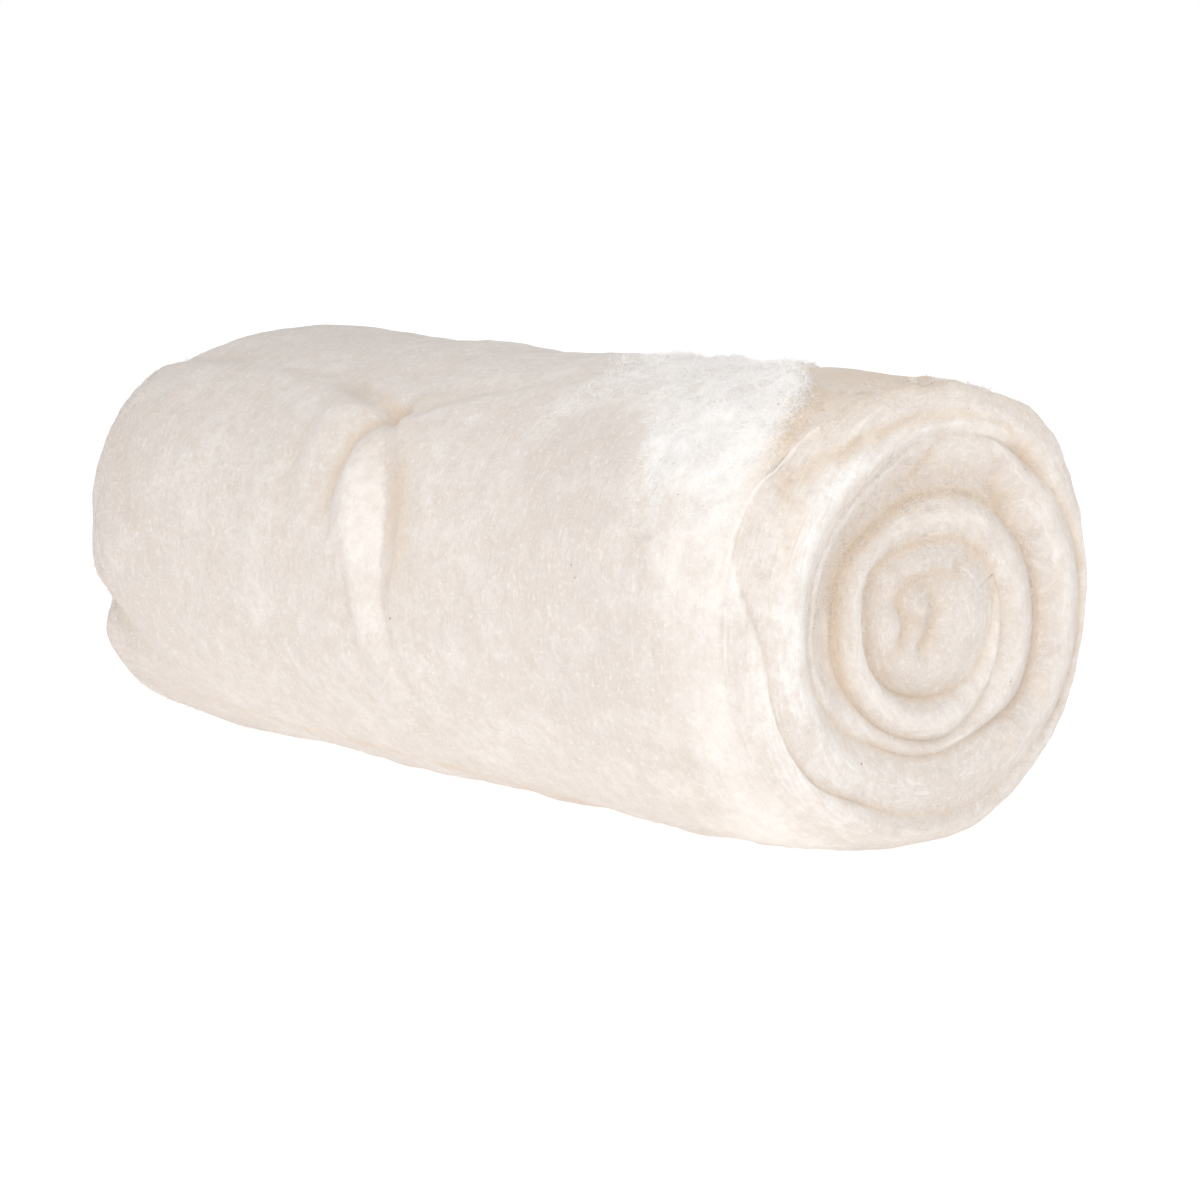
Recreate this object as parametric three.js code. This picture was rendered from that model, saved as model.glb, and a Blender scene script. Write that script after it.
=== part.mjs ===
import * as THREE from 'three';

// Absorbent cotton roll: one long batt of bleached cotton wool, wound up and laid on its side.
// Units are millimetres. +Z is up and the roll lies along X on its pressed underside.
// The end at +X shows the turns, and the front of the roll faces -Y.
// Angles round the roll are in degrees, from 0 at the front over 90 at the top.

// Driving dimensions
const LENGTH = 324;
const WIDTH = 159;
const HEIGHT = 141;
const FLAT_DEPTH = 2;          // how far the roll's own weight presses the underside flat
const ROUNDNESS = 2.15;        // of the section: 2 is an ellipse, and more is squarer
const TAIL_ANGLE = 57;         // where the free edge of the last turn lies
const WRAP_STEP_REACH = 110;   // degrees over which the last turn thickens again, away from its edge
const CORE_DOME = 2;           // how far the middle of an end stands out

// Fineness of the faces: columns round the roll, steps across a turn at each end, rings in the
// core, and the least and most length of a face along the roll
const COLUMNS = 72;
const NEAR_LAYER_STEPS = 4;
const FAR_LAYER_STEPS = 2;
const CORE_RINGS = 5;
const CLOSE_STEP = 3.3;
const OPEN_STEP = 11;

const HALF_LENGTH = LENGTH / 2;
const HALF_WIDTH = WIDTH / 2;
const HALF_HEIGHT = (HEIGHT + FLAT_DEPTH) / 2;
const AXIS_HEIGHT = HEIGHT - HALF_HEIGHT;
const ARC = (Math.PI / 180) * ((HALF_WIDTH + HALF_HEIGHT) / 2);   // arc of one degree
const COLUMN_STEP = 360 / COLUMNS;

// Seam between the turns, by winding angle. It grows outwards and passes the front at 0, -360,
// -720 and so on. Share is the seam's radius as a share of the section.
// Columns: winding angle, share.
const SEAM = [
  [-1280, 0.3], [-1260, 0.335], [-1224, 0.355], [-1206, 0.345], [-1172, 0.322],
  [-1135, 0.308], [-1087, 0.312], [-1046, 0.329], [-990, 0.322], [-954, 0.368],
  [-923, 0.407], [-900, 0.425], [-860, 0.45], [-820, 0.5], [-798, 0.485], [-771, 0.474],
  [-736, 0.475], [-715, 0.468], [-689, 0.486], [-661, 0.466], [-625, 0.517], [-598, 0.56],
  [-570, 0.6], [-540, 0.64], [-508, 0.642], [-486, 0.575], [-470, 0.552], [-450, 0.556],
  [-419, 0.55], [-401, 0.596], [-369, 0.669], [-345, 0.68], [-300, 0.682], [-270, 0.755],
  [-225, 0.808], [-180, 0.872], [-135, 0.835], [-93, 0.797], [-61, 0.784], [-38, 0.854],
  [-11, 0.89], [57, 0.9],
];

// The turns aren't quite centred in the section: sideways, and up
const WINDING_OFFSET = [1.8, -2.6];

// Near end. Recess is how deep the seam lies behind the end of the roll. Crest is how deep the
// top of the turn outside that seam lies, and place is where it is, from 0 at that seam to 1 at
// the next.
// Columns: winding angle, recess, crest, place.
const NEAR_TURNS = [
  [-1280, 6, 5, 0.5], [-1240, 6.5, 5, 0.5], [-1206, 7.5, 4.5, 0.55], [-1172, 8.5, 4, 0.6],
  [-1125, 9.5, 4.5, 0.6], [-1080, 9.5, 5, 0.62], [-1035, 9, 5.5, 0.62], [-990, 7.5, 6, 0.6],
  [-945, 7, 5, 0.5], [-900, 6.5, 3.5, 0.35], [-855, 6.5, 4, 0.4], [-810, 6.8, 6.2, 0.5],
  [-765, 9, 8, 0.6], [-720, 11, 4.6, 0.9], [-675, 11, 4.5, 0.9], [-630, 9.5, 4.6, 0.85],
  [-585, 8.5, 3, 0.65], [-540, 8, 0.8, 0.5], [-495, 7.5, 1.2, 0.5], [-450, 7.5, 2.2, 0.5],
  [-405, 8.5, 2, 0.55], [-360, 5, 0, 0.42], [-315, 4.8, -0.4, 0.4], [-270, 5, 0, 0.22],
  [-225, 4, 2.6, 0.2], [-180, 4, 3.6, 0.2], [-135, 4.5, 3.6, 0.2], [-90, 3, 1.8, 0.35],
  [-60, 3, 1.6, 0.35], [-38, 3, 2, 0.35], [-15, 3.8, 3.6, 0.2], [0, 4.5, 4.4, 0.2],
  [57, 9, 8, 0.5],
];

// Far end, mostly hidden: the inner turns stand back and the last turn reaches past them.
// Columns as above.
const FAR_TURNS = [
  [-1280, 13, 12, 0.5], [-900, 12.5, 8.8, 0.5], [-540, 12, 7, 0.5], [-180, 10, 5, 0.55],
  [0, 8, 1, 0.6], [57, 8, 1, 0.6],
];
const MERGE_START = -6;        // winding angles between which the outermost seam runs into the rim
const MERGE_END = 22;
const MERGED_GAP = 1.2;        // how far inside the rim it then lies
const MERGED_RISE = 0.4;
const HOLLOW_START = 0.6;      // from this place of the crest on, the turn inside it is hollow
const HOLLOW_SHAPE = 1.6;

// Rims where the outside turns into the ends. Setback is how far the rim lies behind the end
// of the roll, and share is its radius as a share of the section.
// Columns: angle, setback, share.
const NEAR_RIM = [
  [-135, 8, 0.97], [-90, 10, 0.96], [-45, 16, 0.935], [0, 17, 0.93],
  [42, 13, 0.945], [62, 8, 0.965], [80, 6, 0.97], [105, 4.5, 0.985], [140, 5, 0.985],
  [170, 8, 0.97],
];
const FAR_RIM = [
  [-135, 9, 0.94], [-90, 7, 0.955], [-50, 1, 0.99], [-30, 1, 0.99], [-15, 3.5, 0.965],
  [0, 1.5, 0.95], [40, 1.5, 0.955], [65, 4, 0.95], [95, 9, 0.92], [135, 11, 0.93], [180, 10, 0.94],
];

// Shoulders next to the rims, from where they start to the rim
const NEAR_SHOULDER = 32;
const FAR_SHOULDER = 24;
const SHOULDER_CURVE = 0.85;   // share of a quarter circle that a shoulder goes through
const SHOULDER_DROP = 1 - Math.sqrt(1 - SHOULDER_CURVE ** 2);
const RIM_STATION = 152;       // nominal place of both rims

// Free edge of the last turn. It dips where the roll is pinched, and near the end at +X it runs
// over the top, feathered out, and back down where the batt is torn. Step is how far the last
// turn stands above the one under it there, and slope is how wide the way down is.
// Columns: x, angle, step, slope.
const TAIL_EDGE = [
  [-156, 57, 3, 8], [-124, 57, 3, 8], [-78, 59, 1.8, 13], [-64, 57.5, 2, 10],
  [-38, 50, 2.5, 6], [-15, 45, 2.2, 6], [-9, 49, 2, 6], [14, 54.5, 1.6, 9], [38, 63, 1.2, 9],
  [44, 78, 1, 8], [50, 92, 0.8, 8], [62, 101, 0.8, 6], [82, 104, 1, 6], [98, 99, 1.2, 6],
  [110, 88, 2.4, 6], [118, 78, 3.4, 6], [130, 72, 4, 6], [140, 64, 4, 6],
  [146, 50, 3.6, 6], [150, 26, 2.4, 6],
];
const EDGE_LEAN_END = 38;      // up to here the faces follow the free edge
const EDGE_LEAN_REACH = 45;    // degrees over which they do

// The pinch, where the outside is folded most
const PINCH_PLACE = -14;
const PINCH_REACH = 45;
const FOLDS_MIDDLE = 60;       // angle that every fold lies within half a turn of

// Height of the roll's top above the plain section.
// Columns: x, height.
const TOP_LINE = [
  [-160, 0], [-130, 3], [-110, 2.2], [-90, 0.5], [-60, -1], [-30, -0.7], [0, -1.2],
  [50, -2], [80, -2.8], [110, -3], [150, -2.8],
];
const TOP_ANGLE = 95;
const TOP_WIDTH = 50;

// Swellings of the outside, broad and soft: the sides bulge where the roll rests.
// Columns: x, angle, length along the roll, width round it, height.
const SWELLINGS = [
  [40, -66, 130, 24, 2.6], [108, -64, 28, 22, 1.2], [0, -114, 160, 24, 2],
  [0, -5, 400, 45, -1.2], [0, 180, 120, 45, 1],
];

// Folds of the outside: a soft trough along a route, or a ridge where the depth is below 0.
// Columns of a route: x, angle, depth.
const FOLDS = [
  { name: 'tail groove', width: 3.6, route: [
    [-120, 57, 0.2], [-64, 58, 0.6], [-44, 52, 2.6], [-37, 50, 2.8], [-28, 47.5, 1.4],
    [-20, 46, 3.2], [-14, 45, 3], [2, 50, 1.8], [16, 55.5, 1], [38, 63, 0.3]] },
  { name: 'pinch groove, upper left', width: 5, route: [
    [-15, 45, 2.5], [-23, 41, 4], [-29, 33, 4], [-33.5, 24, 3], [-36, 15, 1], [-36, 8, 0.2]] },
  { name: 'pinch groove, lower left', width: 3.5, route: [
    [-28, 6, 0.2], [-26.5, -4, 1.2], [-24, -15, 1.4], [-22, -30, 1], [-22, -55, 0.3]] },
  { name: 'pinch ridge', width: 8, route: [
    [-18, 38, -1], [-23, 28, -2.4], [-22.5, 12, -3], [-20.5, -4, -3], [-19, -18, -2.5],
    [-18, -36, -1]] },
  { name: 'pinch groove, right', width: 3.5, route: [
    [-14, 44, 2.5], [-7.5, 34, 2.2], [-3.8, 22, 2.6], [-1.8, 6, 2.8], [-0.5, -8, 2.8],
    [-1, -22, 2], [-3, -40, 1.2], [-5, -60, 0.5]] },
  { name: 'hollow right of the pinch', width: 12, route: [
    [-4, 42, 1], [0, 32, 2.2], [3, 20, 3], [5, 5, 3.2], [5, -10, 2.8], [4, -25, 1.8],
    [3, -45, 0.6]] },
  { name: 'pinch over the back', width: 12, route: [
    [-20, 62, 0.5], [-14, 110, 1.5], [-10, 150, 1], [-10, 190, 0.5]] },
  { name: 'lobe beside the pinch', width: 7, route: [
    [-38, 46, -0.5], [-42, 38, -2], [-44, 26, -1.5], [-42, 14, -0.5]] },
  { name: 'hollow beside the lobe', width: 7, route: [
    [-50, 40, 0.5], [-50, 30, 1.5], [-49, 16, 1], [-48, 6, 0.3]] },
  { name: 'crease below the torn edge', width: 5, route: [
    [94, 44, 0.3], [105, 32, 1.5], [111, 24, 1.5], [118, 15, 0.3]] },
  { name: 'lower crease at the near shoulder', width: 7, route: [
    [123, -18, 0.3], [121, -35, 1.5], [117, -55, 1.5], [110, -70, 0.3]] },
  { name: 'crease at the far shoulder', width: 5, route: [
    [-151, 34, 1], [-142, 20, 2], [-134, 11, 1.5], [-120, 3, 0.3]] },
  { name: 'notch at the far shoulder', width: 6, route: [
    [-160, -15, 6], [-150, -20, 4], [-139, -28, 2], [-126, -34, 0.3]] },
];

// Folds of the near end's face, in the same form.
// Columns of a route: y, z above the roll's axis, depth.
const END_FOLDS = [
  { name: 'first fold of the batt', width: 3, route: [
    [14, 13, 2], [6, 9, 3], [-3, 10, 3.4], [-14, 6.5, 3.6], [-15.5, 3.5, 3.6], [-10, -1, 3.4],
    [-11.5, -5, 3], [-13, -9, 2]] },
  { name: 'hollow in the first fold', width: 7, route: [[-1, 4, 2], [-3, -3, 2.2], [-1, -9, 1]] },
  { name: 'lobe of the first fold', width: 7, route: [[13, 5, -2], [15, -3, -2], [11, -10, -1]] },
  { name: 'edge under the last turn', width: 3, route: [
    [-61.5, 26, 1], [-55.5, 40, 2], [-43.3, 47.4, 2.2], [-24.5, 54.1, 2.2], [-2.9, 57.8, 2],
    [24, 55, 1.2], [43.4, 43.6, 1.5], [51.3, 35.5, 0.8]] },
];

// Value in one column of a table, on a smooth curve through its rows
function smoothValue(rows, column, at) {
  const last = rows.length - 1;
  if (at <= rows[0][0]) return rows[0][column];
  if (at >= rows[last][0]) return rows[last][column];
  const next = rows.findIndex((row) => row[0] > at);
  const [start, end] = [rows[next - 1], rows[next]];
  const [before, after] = [rows[Math.max(next - 2, 0)], rows[Math.min(next + 1, last)]];
  const span = end[0] - start[0];
  const t = (at - start[0]) / span;
  const startSlope = (end[column] - before[column]) / (end[0] - before[0]);
  const endSlope = (after[column] - start[column]) / (after[0] - start[0]);
  return THREE.MathUtils.lerp(start[column], end[column], t * t * (3 - 2 * t))
    + span * t * (1 - t) * ((1 - t) * startSlope - t * endSlope);
}

// The same for a table that goes once round the roll
function roundValue(rows, column, angle) {
  const first = rows[0];
  const last = rows[rows.length - 1];
  const whole = [[last[0] - 360, ...last.slice(1)], ...rows, [first[0] + 360, ...first.slice(1)]];
  return smoothValue(whole, column, angleNear(angle, 0));
}

// The same angle, within half a turn of another
function angleNear(angle, other) {
  return THREE.MathUtils.euclideanModulo(angle - other + 180, 360) - 180 + other;
}

// Point of the plain section at an angle, as y and z from the roll's axis
function sectionPoint(angle) {
  const radians = THREE.MathUtils.degToRad(angle);
  const squared = (value) => Math.sign(value) * Math.abs(value) ** (2 / ROUNDNESS);
  return [-HALF_WIDTH * squared(Math.cos(radians)), HALF_HEIGHT * squared(Math.sin(radians))];
}

// Soft hump across a distance, 1 in its middle
function bell(distance, width) {
  return Math.exp(-((distance / width) ** 2));
}

// Depth of a fold at a place. Both coordinates of the route are taken times the scale there.
function foldDepth(fold, place, scale) {
  let nearest = Infinity;
  let depth = 0;
  for (let i = 1; i < fold.route.length; i += 1) {
    const [startX, startY, startDepth] = fold.route[i - 1];
    const [endX, endY, endDepth] = fold.route[i];
    const [runX, runY] = [endX - startX, (endY - startY) * scale];
    const [offX, offY] = [place[0] - startX, (place[1] - startY) * scale];
    const share = (offX * runX + offY * runY) / (runX ** 2 + runY ** 2);
    const t = THREE.MathUtils.clamp(share, 0, 1);
    const distance = Math.hypot(offX - t * runX, offY - t * runY);
    if (distance < nearest) {
      nearest = distance;
      depth = THREE.MathUtils.lerp(startDepth, endDepth, t);
    }
  }
  return depth * bell(nearest, fold.width);
}

// Height of the last turn above the one under it: full just inside its free edge, none beyond
// the edge, and worn in gradually on the way back round the roll
function wrapHeight(x, angle) {
  const edge = smoothValue(TAIL_EDGE, 1, x);
  const lean = smoothValue(TAIL_EDGE, 1, x + 0.5) - smoothValue(TAIL_EDGE, 1, x - 0.5);
  const inside = edge - angleNear(angle, edge - WRAP_STEP_REACH);
  const distance = (inside * ARC) / Math.hypot(1, lean * ARC);
  const slope = smoothValue(TAIL_EDGE, 3, x);
  const step = THREE.MathUtils.smoothstep(distance, -slope / 2, slope / 2);
  const fade = 1 - THREE.MathUtils.smoothstep(inside, 0, WRAP_STEP_REACH);
  return smoothValue(TAIL_EDGE, 2, x) * step * fade;
}

// How far the outside stands off the plain section at a place
function outsideHeight(x, angle) {
  let height = wrapHeight(x, angle);
  height += smoothValue(TOP_LINE, 1, x) * bell(angleNear(angle - TOP_ANGLE, 0), TOP_WIDTH);
  for (const [atX, atAngle, along, round, most] of SWELLINGS) {
    height += most * bell(x - atX, along) * bell(angleNear(angle - atAngle, 0), round);
  }
  for (const fold of FOLDS) {
    height -= foldDepth(fold, [x, angleNear(angle, FOLDS_MIDDLE)], ARC);
  }
  return height;
}

// How much of the radius is left on a shoulder, from 1 where it starts to the rim's share
function shoulderShare(fromRim, length, rimShare) {
  const along = SHOULDER_CURVE * THREE.MathUtils.clamp(1 - fromRim / length, 0, 1);
  return 1 - ((1 - rimShare) * (1 - Math.sqrt(1 - along ** 2))) / SHOULDER_DROP;
}

// Point of the outside. The station is its x where the rims lie at their nominal places.
function outsidePoint(station, angle) {
  const [rim, shoulder] = station > 0 ? [NEAR_RIM, NEAR_SHOULDER] : [FAR_RIM, FAR_SHOULDER];
  const rimPlace = HALF_LENGTH - roundValue(rim, 1, angle);
  const x = (station * rimPlace) / RIM_STATION;
  const [y, z] = sectionPoint(angle);
  const share = (1 + outsideHeight(x, angle) / Math.hypot(y, z))
    * shoulderShare(rimPlace - Math.abs(x), shoulder, roundValue(rim, 2, angle));
  return [x, y * share, Math.max(AXIS_HEIGHT + z * share, 0)];
}

// Angle of a column of points, which leans with the free edge of the last turn
function columnAngle(column, station) {
  const fromEdge = column * COLUMN_STEP;
  const edge = smoothValue(TAIL_EDGE, 1, Math.min(station, EDGE_LEAN_END));
  const past = THREE.MathUtils.smoothstep(station, EDGE_LEAN_END, RIM_STATION);
  const lean = (edge - TAIL_ANGLE) * (1 - past) * bell(angleNear(fromEdge, 0), EDGE_LEAN_REACH);
  return TAIL_ANGLE + fromEdge + lean;
}

// Stations of the outside from rim to rim, close together at the pinch and the shoulders
function outsideStations() {
  const stations = [];
  for (let station = RIM_STATION; station > -RIM_STATION; station -= stationStep(station)) {
    stations.push(station);
  }
  return [...stations, -RIM_STATION];
}

function stationStep(station) {
  const open = 1 - bell(station - PINCH_PLACE, PINCH_REACH);
  const toRim = (RIM_STATION - Math.abs(station)) / NEAR_SHOULDER;
  return THREE.MathUtils.lerp(CLOSE_STEP, OPEN_STEP, Math.min(open, 0.15 + 0.85 * toRim, 1));
}

// Point on the seam between two turns at one end. The outermost seam runs into the rim.
function seamPoint(turns, side, winding, rimPoint) {
  const recess = smoothValue(turns, 1, winding);
  const point = endPoint(winding, smoothValue(SEAM, 1, winding), recess, side);
  const merged = besideRim(rimPoint, side);
  return point.map((value, i) => THREE.MathUtils.lerp(value, merged[i], mergedShare(winding)));
}

function mergedShare(winding) {
  return THREE.MathUtils.smoothstep(winding, MERGE_START, MERGE_END);
}

// Point just inside a point of the rim
function besideRim([x, y, z], side) {
  const toAxis = Math.hypot(y, AXIS_HEIGHT - z);
  return [
    x + side * MERGED_RISE,
    y - (y * MERGED_GAP) / toAxis,
    z + ((AXIS_HEIGHT - z) * MERGED_GAP) / toAxis,
  ];
}

// Point across a turn, which rises from its inner seam to its crest and falls to its outer seam.
// Half the steps lie on each side of the crest.
function turnPoint(inner, outer, share, crest, place) {
  const inside = share < 0.5;
  const wayUp = 1 - Math.abs(2 * share - 1);
  const across = inside ? place * wayUp : 1 - (1 - place) * wayUp;
  const point = inner.map((value, i) => THREE.MathUtils.lerp(value, outer[i], across));
  const foot = inside ? inner[0] : outer[0];
  const hollow = inside ? THREE.MathUtils.smoothstep(place, HOLLOW_START, 1) : 0;
  const rise = Math.sin((Math.PI / 2) * wayUp) ** (1 + HOLLOW_SHAPE * hollow);
  point[0] = THREE.MathUtils.lerp(foot, crest, rise);
  return point;
}

// Presses the folds of the near end's face into its points
function pressEndFolds(points) {
  for (const point of points) {
    const place = [point[1], point[2] - AXIS_HEIGHT];
    point[0] -= END_FOLDS.reduce((depth, fold) => depth + foldDepth(fold, place, 1), 0);
  }
}

// Point of an end at a share of the section's radius
function endPoint(angle, share, recess, side) {
  const [y, z] = sectionPoint(angle);
  return [
    side * (HALF_LENGTH - recess),
    y * share + WINDING_OFFSET[0],
    z * share + WINDING_OFFSET[1] + AXIS_HEIGHT,
  ];
}

// Builds up one closed surface from points and faces
class Surface {
  constructor() {
    this.points = [];
    this.faces = [];
  }

  add(point) {
    this.points.push(point);
    return this.points.length - 1;
  }

  // Four corners, counterclockwise from outside, less any face that has no area
  quad(a, b, c, d, flip) {
    this.triangle(a, b, c, flip);
    this.triangle(a, c, d, flip);
  }

  triangle(a, b, c, flip) {
    if (a === b || b === c || c === a) return;
    this.faces.push(flip ? [a, c, b] : [a, b, c]);
  }

  geometry() {
    const geometry = new THREE.BufferGeometry();
    geometry.setAttribute('position', new THREE.Float32BufferAttribute(this.points.flat(), 3));
    geometry.setIndex(this.faces.flat());
    geometry.computeVertexNormals();
    return geometry;
  }
}

// The outside, from the near rim to the far rim. Gives back both rims' points.
function addOutside(surface) {
  const rows = outsideStations().map((station) => {
    const row = [];
    for (let column = 0; column < COLUMNS; column += 1) {
      row.push(surface.add(outsidePoint(station, columnAngle(column, station))));
    }
    return row;
  });
  for (let i = 1; i < rows.length; i += 1) {
    for (let column = 0; column < COLUMNS; column += 1) {
      const next = (column + 1) % COLUMNS;
      surface.quad(rows[i - 1][column], rows[i - 1][next], rows[i][next], rows[i][column], false);
    }
  }
  return [rows[0], rows[rows.length - 1]];
}

// One end: a long strip that follows the winding from the core to the free edge of the last
// turn. Its outer side is the strip's own next turn, or the rim.
function addEnd(surface, rim, turns, side, layerSteps) {
  const steps = Math.round((TAIL_ANGLE - SEAM[0][0]) / COLUMN_STEP);
  const windingAt = (step) => TAIL_ANGLE - (steps - step) * COLUMN_STEP;
  const rimAt = (step) => rim[THREE.MathUtils.euclideanModulo(step - steps, COLUMNS)];
  const seam = [];
  for (let step = 0; step < steps; step += 1) {
    const rimPoint = surface.points[rimAt(step)];
    seam.push(surface.add(seamPoint(turns, side, windingAt(step), rimPoint)));
  }
  const seamAt = (step) => seam[step] ?? rimAt(step);
  const strip = [];
  for (let step = 0; step <= steps; step += 1) {
    strip.push(stripRow(surface, seamAt(step), seamAt(step + COLUMNS), layerSteps,
      crestX(surface, turns, side, windingAt(step), seamAt(step + COLUMNS)),
      smoothValue(turns, 3, windingAt(step))));
  }
  for (let step = 0; step < steps; step += 1) {
    for (let i = 0; i < layerSteps; i += 1) {
      surface.quad(strip[step][i], strip[step + 1][i], strip[step + 1][i + 1], strip[step][i + 1],
        side < 0);
    }
  }
  addCore(surface, [...seam.slice(0, COLUMNS), ...strip[0].slice(1).reverse()], turns, side);
}

// Place along X of a turn's crest, which runs into the rim with the outermost seam
function crestX(surface, turns, side, winding, outer) {
  const crest = side * (HALF_LENGTH - smoothValue(turns, 2, winding));
  const merged = surface.points[outer][0] + side * MERGED_RISE;
  return THREE.MathUtils.lerp(crest, merged, mergedShare(winding));
}

// Points across a turn from its inner seam to its outer one. They are one point at the tail.
function stripRow(surface, inner, outer, layerSteps, crest, place) {
  const row = [inner];
  for (let i = 1; i < layerSteps; i += 1) {
    const [from, to] = [surface.points[inner], surface.points[outer]];
    const point = inner === outer ? null : turnPoint(from, to, i / layerSteps, crest, place);
    row.push(point ? surface.add(point) : inner);
  }
  return [...row, outer];
}

// The start of the batt in the middle of an end, as rings inside the first turn
function addCore(surface, border, turns, side) {
  const corePoint = (angle, share) => (
    endPoint(angle, share * SEAM[0][1], turns[0][1] - CORE_DOME * (1 - share ** 2), side)
  );
  const rings = [border];
  for (let ring = 1; ring < CORE_RINGS; ring += 1) {
    rings.push(border.map((_, i) => {
      const angle = SEAM[0][0] + (360 * i) / border.length;
      return surface.add(corePoint(angle, 1 - ring / CORE_RINGS));
    }));
  }
  const middle = surface.add(corePoint(0, 0));
  border.forEach((_, i) => {
    const next = (i + 1) % border.length;
    for (let ring = 1; ring < CORE_RINGS; ring += 1) {
      surface.quad(rings[ring][i], rings[ring][next], rings[ring - 1][next], rings[ring - 1][i],
        side < 0);
    }
    surface.triangle(middle, rings[CORE_RINGS - 1][next], rings[CORE_RINGS - 1][i], side < 0);
  });
}

function cottonRoll() {
  const surface = new Surface();
  const [nearRim, farRim] = addOutside(surface);
  const outsidePoints = surface.points.length;
  addEnd(surface, nearRim, NEAR_TURNS, 1, NEAR_LAYER_STEPS);
  pressEndFolds(surface.points.slice(outsidePoints));
  addEnd(surface, farRim, FAR_TURNS, -1, FAR_LAYER_STEPS);
  const cotton = new THREE.MeshStandardMaterial({ color: 0xf2ece4, roughness: 1, metalness: 0 });
  const roll = new THREE.Mesh(surface.geometry(), cotton);
  roll.name = 'cotton_roll';
  return roll;
}

const part = new THREE.Group();
part.add(cottonRoll());
export default part;
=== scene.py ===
import bpy
import numpy as np
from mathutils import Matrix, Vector


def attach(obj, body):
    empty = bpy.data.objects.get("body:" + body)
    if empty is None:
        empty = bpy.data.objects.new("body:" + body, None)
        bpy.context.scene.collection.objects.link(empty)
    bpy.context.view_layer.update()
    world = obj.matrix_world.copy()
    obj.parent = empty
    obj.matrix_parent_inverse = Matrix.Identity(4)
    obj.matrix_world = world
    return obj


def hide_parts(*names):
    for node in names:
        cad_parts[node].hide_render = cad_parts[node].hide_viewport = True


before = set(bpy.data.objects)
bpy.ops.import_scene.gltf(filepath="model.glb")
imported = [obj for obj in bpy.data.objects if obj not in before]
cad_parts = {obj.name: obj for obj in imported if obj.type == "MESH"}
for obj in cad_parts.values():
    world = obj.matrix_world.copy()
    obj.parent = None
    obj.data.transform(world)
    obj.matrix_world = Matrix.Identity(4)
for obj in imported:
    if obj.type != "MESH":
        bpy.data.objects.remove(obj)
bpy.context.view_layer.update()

MM = 0.001

# Driving dimensions of the roll
LENGTH = 324
WIDTH = 159
HEIGHT = 141
FLAT_DEPTH = 2  # how far the roll's own weight presses the underside flat
ROUNDNESS = 2.15  # of the section: 2 is an ellipse, and more is squarer
TAIL_ANGLE = 57  # where the free edge of the last turn lies
WRAP_STEP_REACH = 110  # degrees over which the last turn thickens again, away from its edge
CORE_DOME = 2.6  # how far the middle of an end stands out
CORE_SHARE = 0.3  # even radius that the rings of the core take up inwards

HALF_LENGTH = LENGTH / 2
HALF_WIDTH = WIDTH / 2
HALF_HEIGHT = (HEIGHT + FLAT_DEPTH) / 2
AXIS_HEIGHT = HEIGHT - HALF_HEIGHT
ARC = np.pi / 180 * (HALF_WIDTH + HALF_HEIGHT) / 2  # arc of one degree
MAP_RADIUS = 0.8 * HALF_WIDTH  # at which the UV map shows the way round in its real length

ZONES = {1: "near", -1: "far"}  # names of the ends by the side they face

# Fineness of the faces
COLUMNS = 280  # round the roll
COLUMN_STEP = 360 / COLUMNS
NEAR_LAYER_STEPS = 12
FAR_LAYER_STEPS = 6
CORE_RINGS = 12
CLOSE_STEP = 1.1  # least and most length of a face along the roll
OPEN_STEP = 1.9
RIM_OPENNESS = 0.15  # how far towards the open step the faces beside a rim are

# Seam between the turns, by winding angle. It grows outwards and passes the front at 0, -360,
# -720 and so on. Share is the seam's radius as a share of the section.
# Columns: winding angle, share.
SEAM = [
    [-1280, 0.412], [-1260, 0.385], [-1224, 0.362], [-1206, 0.347], [-1172, 0.322],
    [-1135, 0.308], [-1087, 0.312], [-1046, 0.329], [-990, 0.322], [-954, 0.368],
    [-923, 0.407], [-900, 0.425], [-860, 0.45], [-820, 0.5], [-798, 0.485], [-771, 0.474],
    [-736, 0.475], [-715, 0.468], [-689, 0.486], [-661, 0.466], [-625, 0.517], [-598, 0.56],
    [-570, 0.6], [-540, 0.64], [-508, 0.642], [-486, 0.575], [-470, 0.552], [-450, 0.556],
    [-419, 0.55], [-401, 0.596], [-369, 0.669], [-345, 0.68], [-300, 0.682], [-270, 0.755],
    [-225, 0.808], [-180, 0.872], [-135, 0.835], [-93, 0.797], [-61, 0.784], [-38, 0.854],
    [-11, 0.89], [57, 0.9],
]

# The turns aren't quite centred in the section: sideways, and up
WINDING_OFFSET = [1.8, -2.6]

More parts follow.
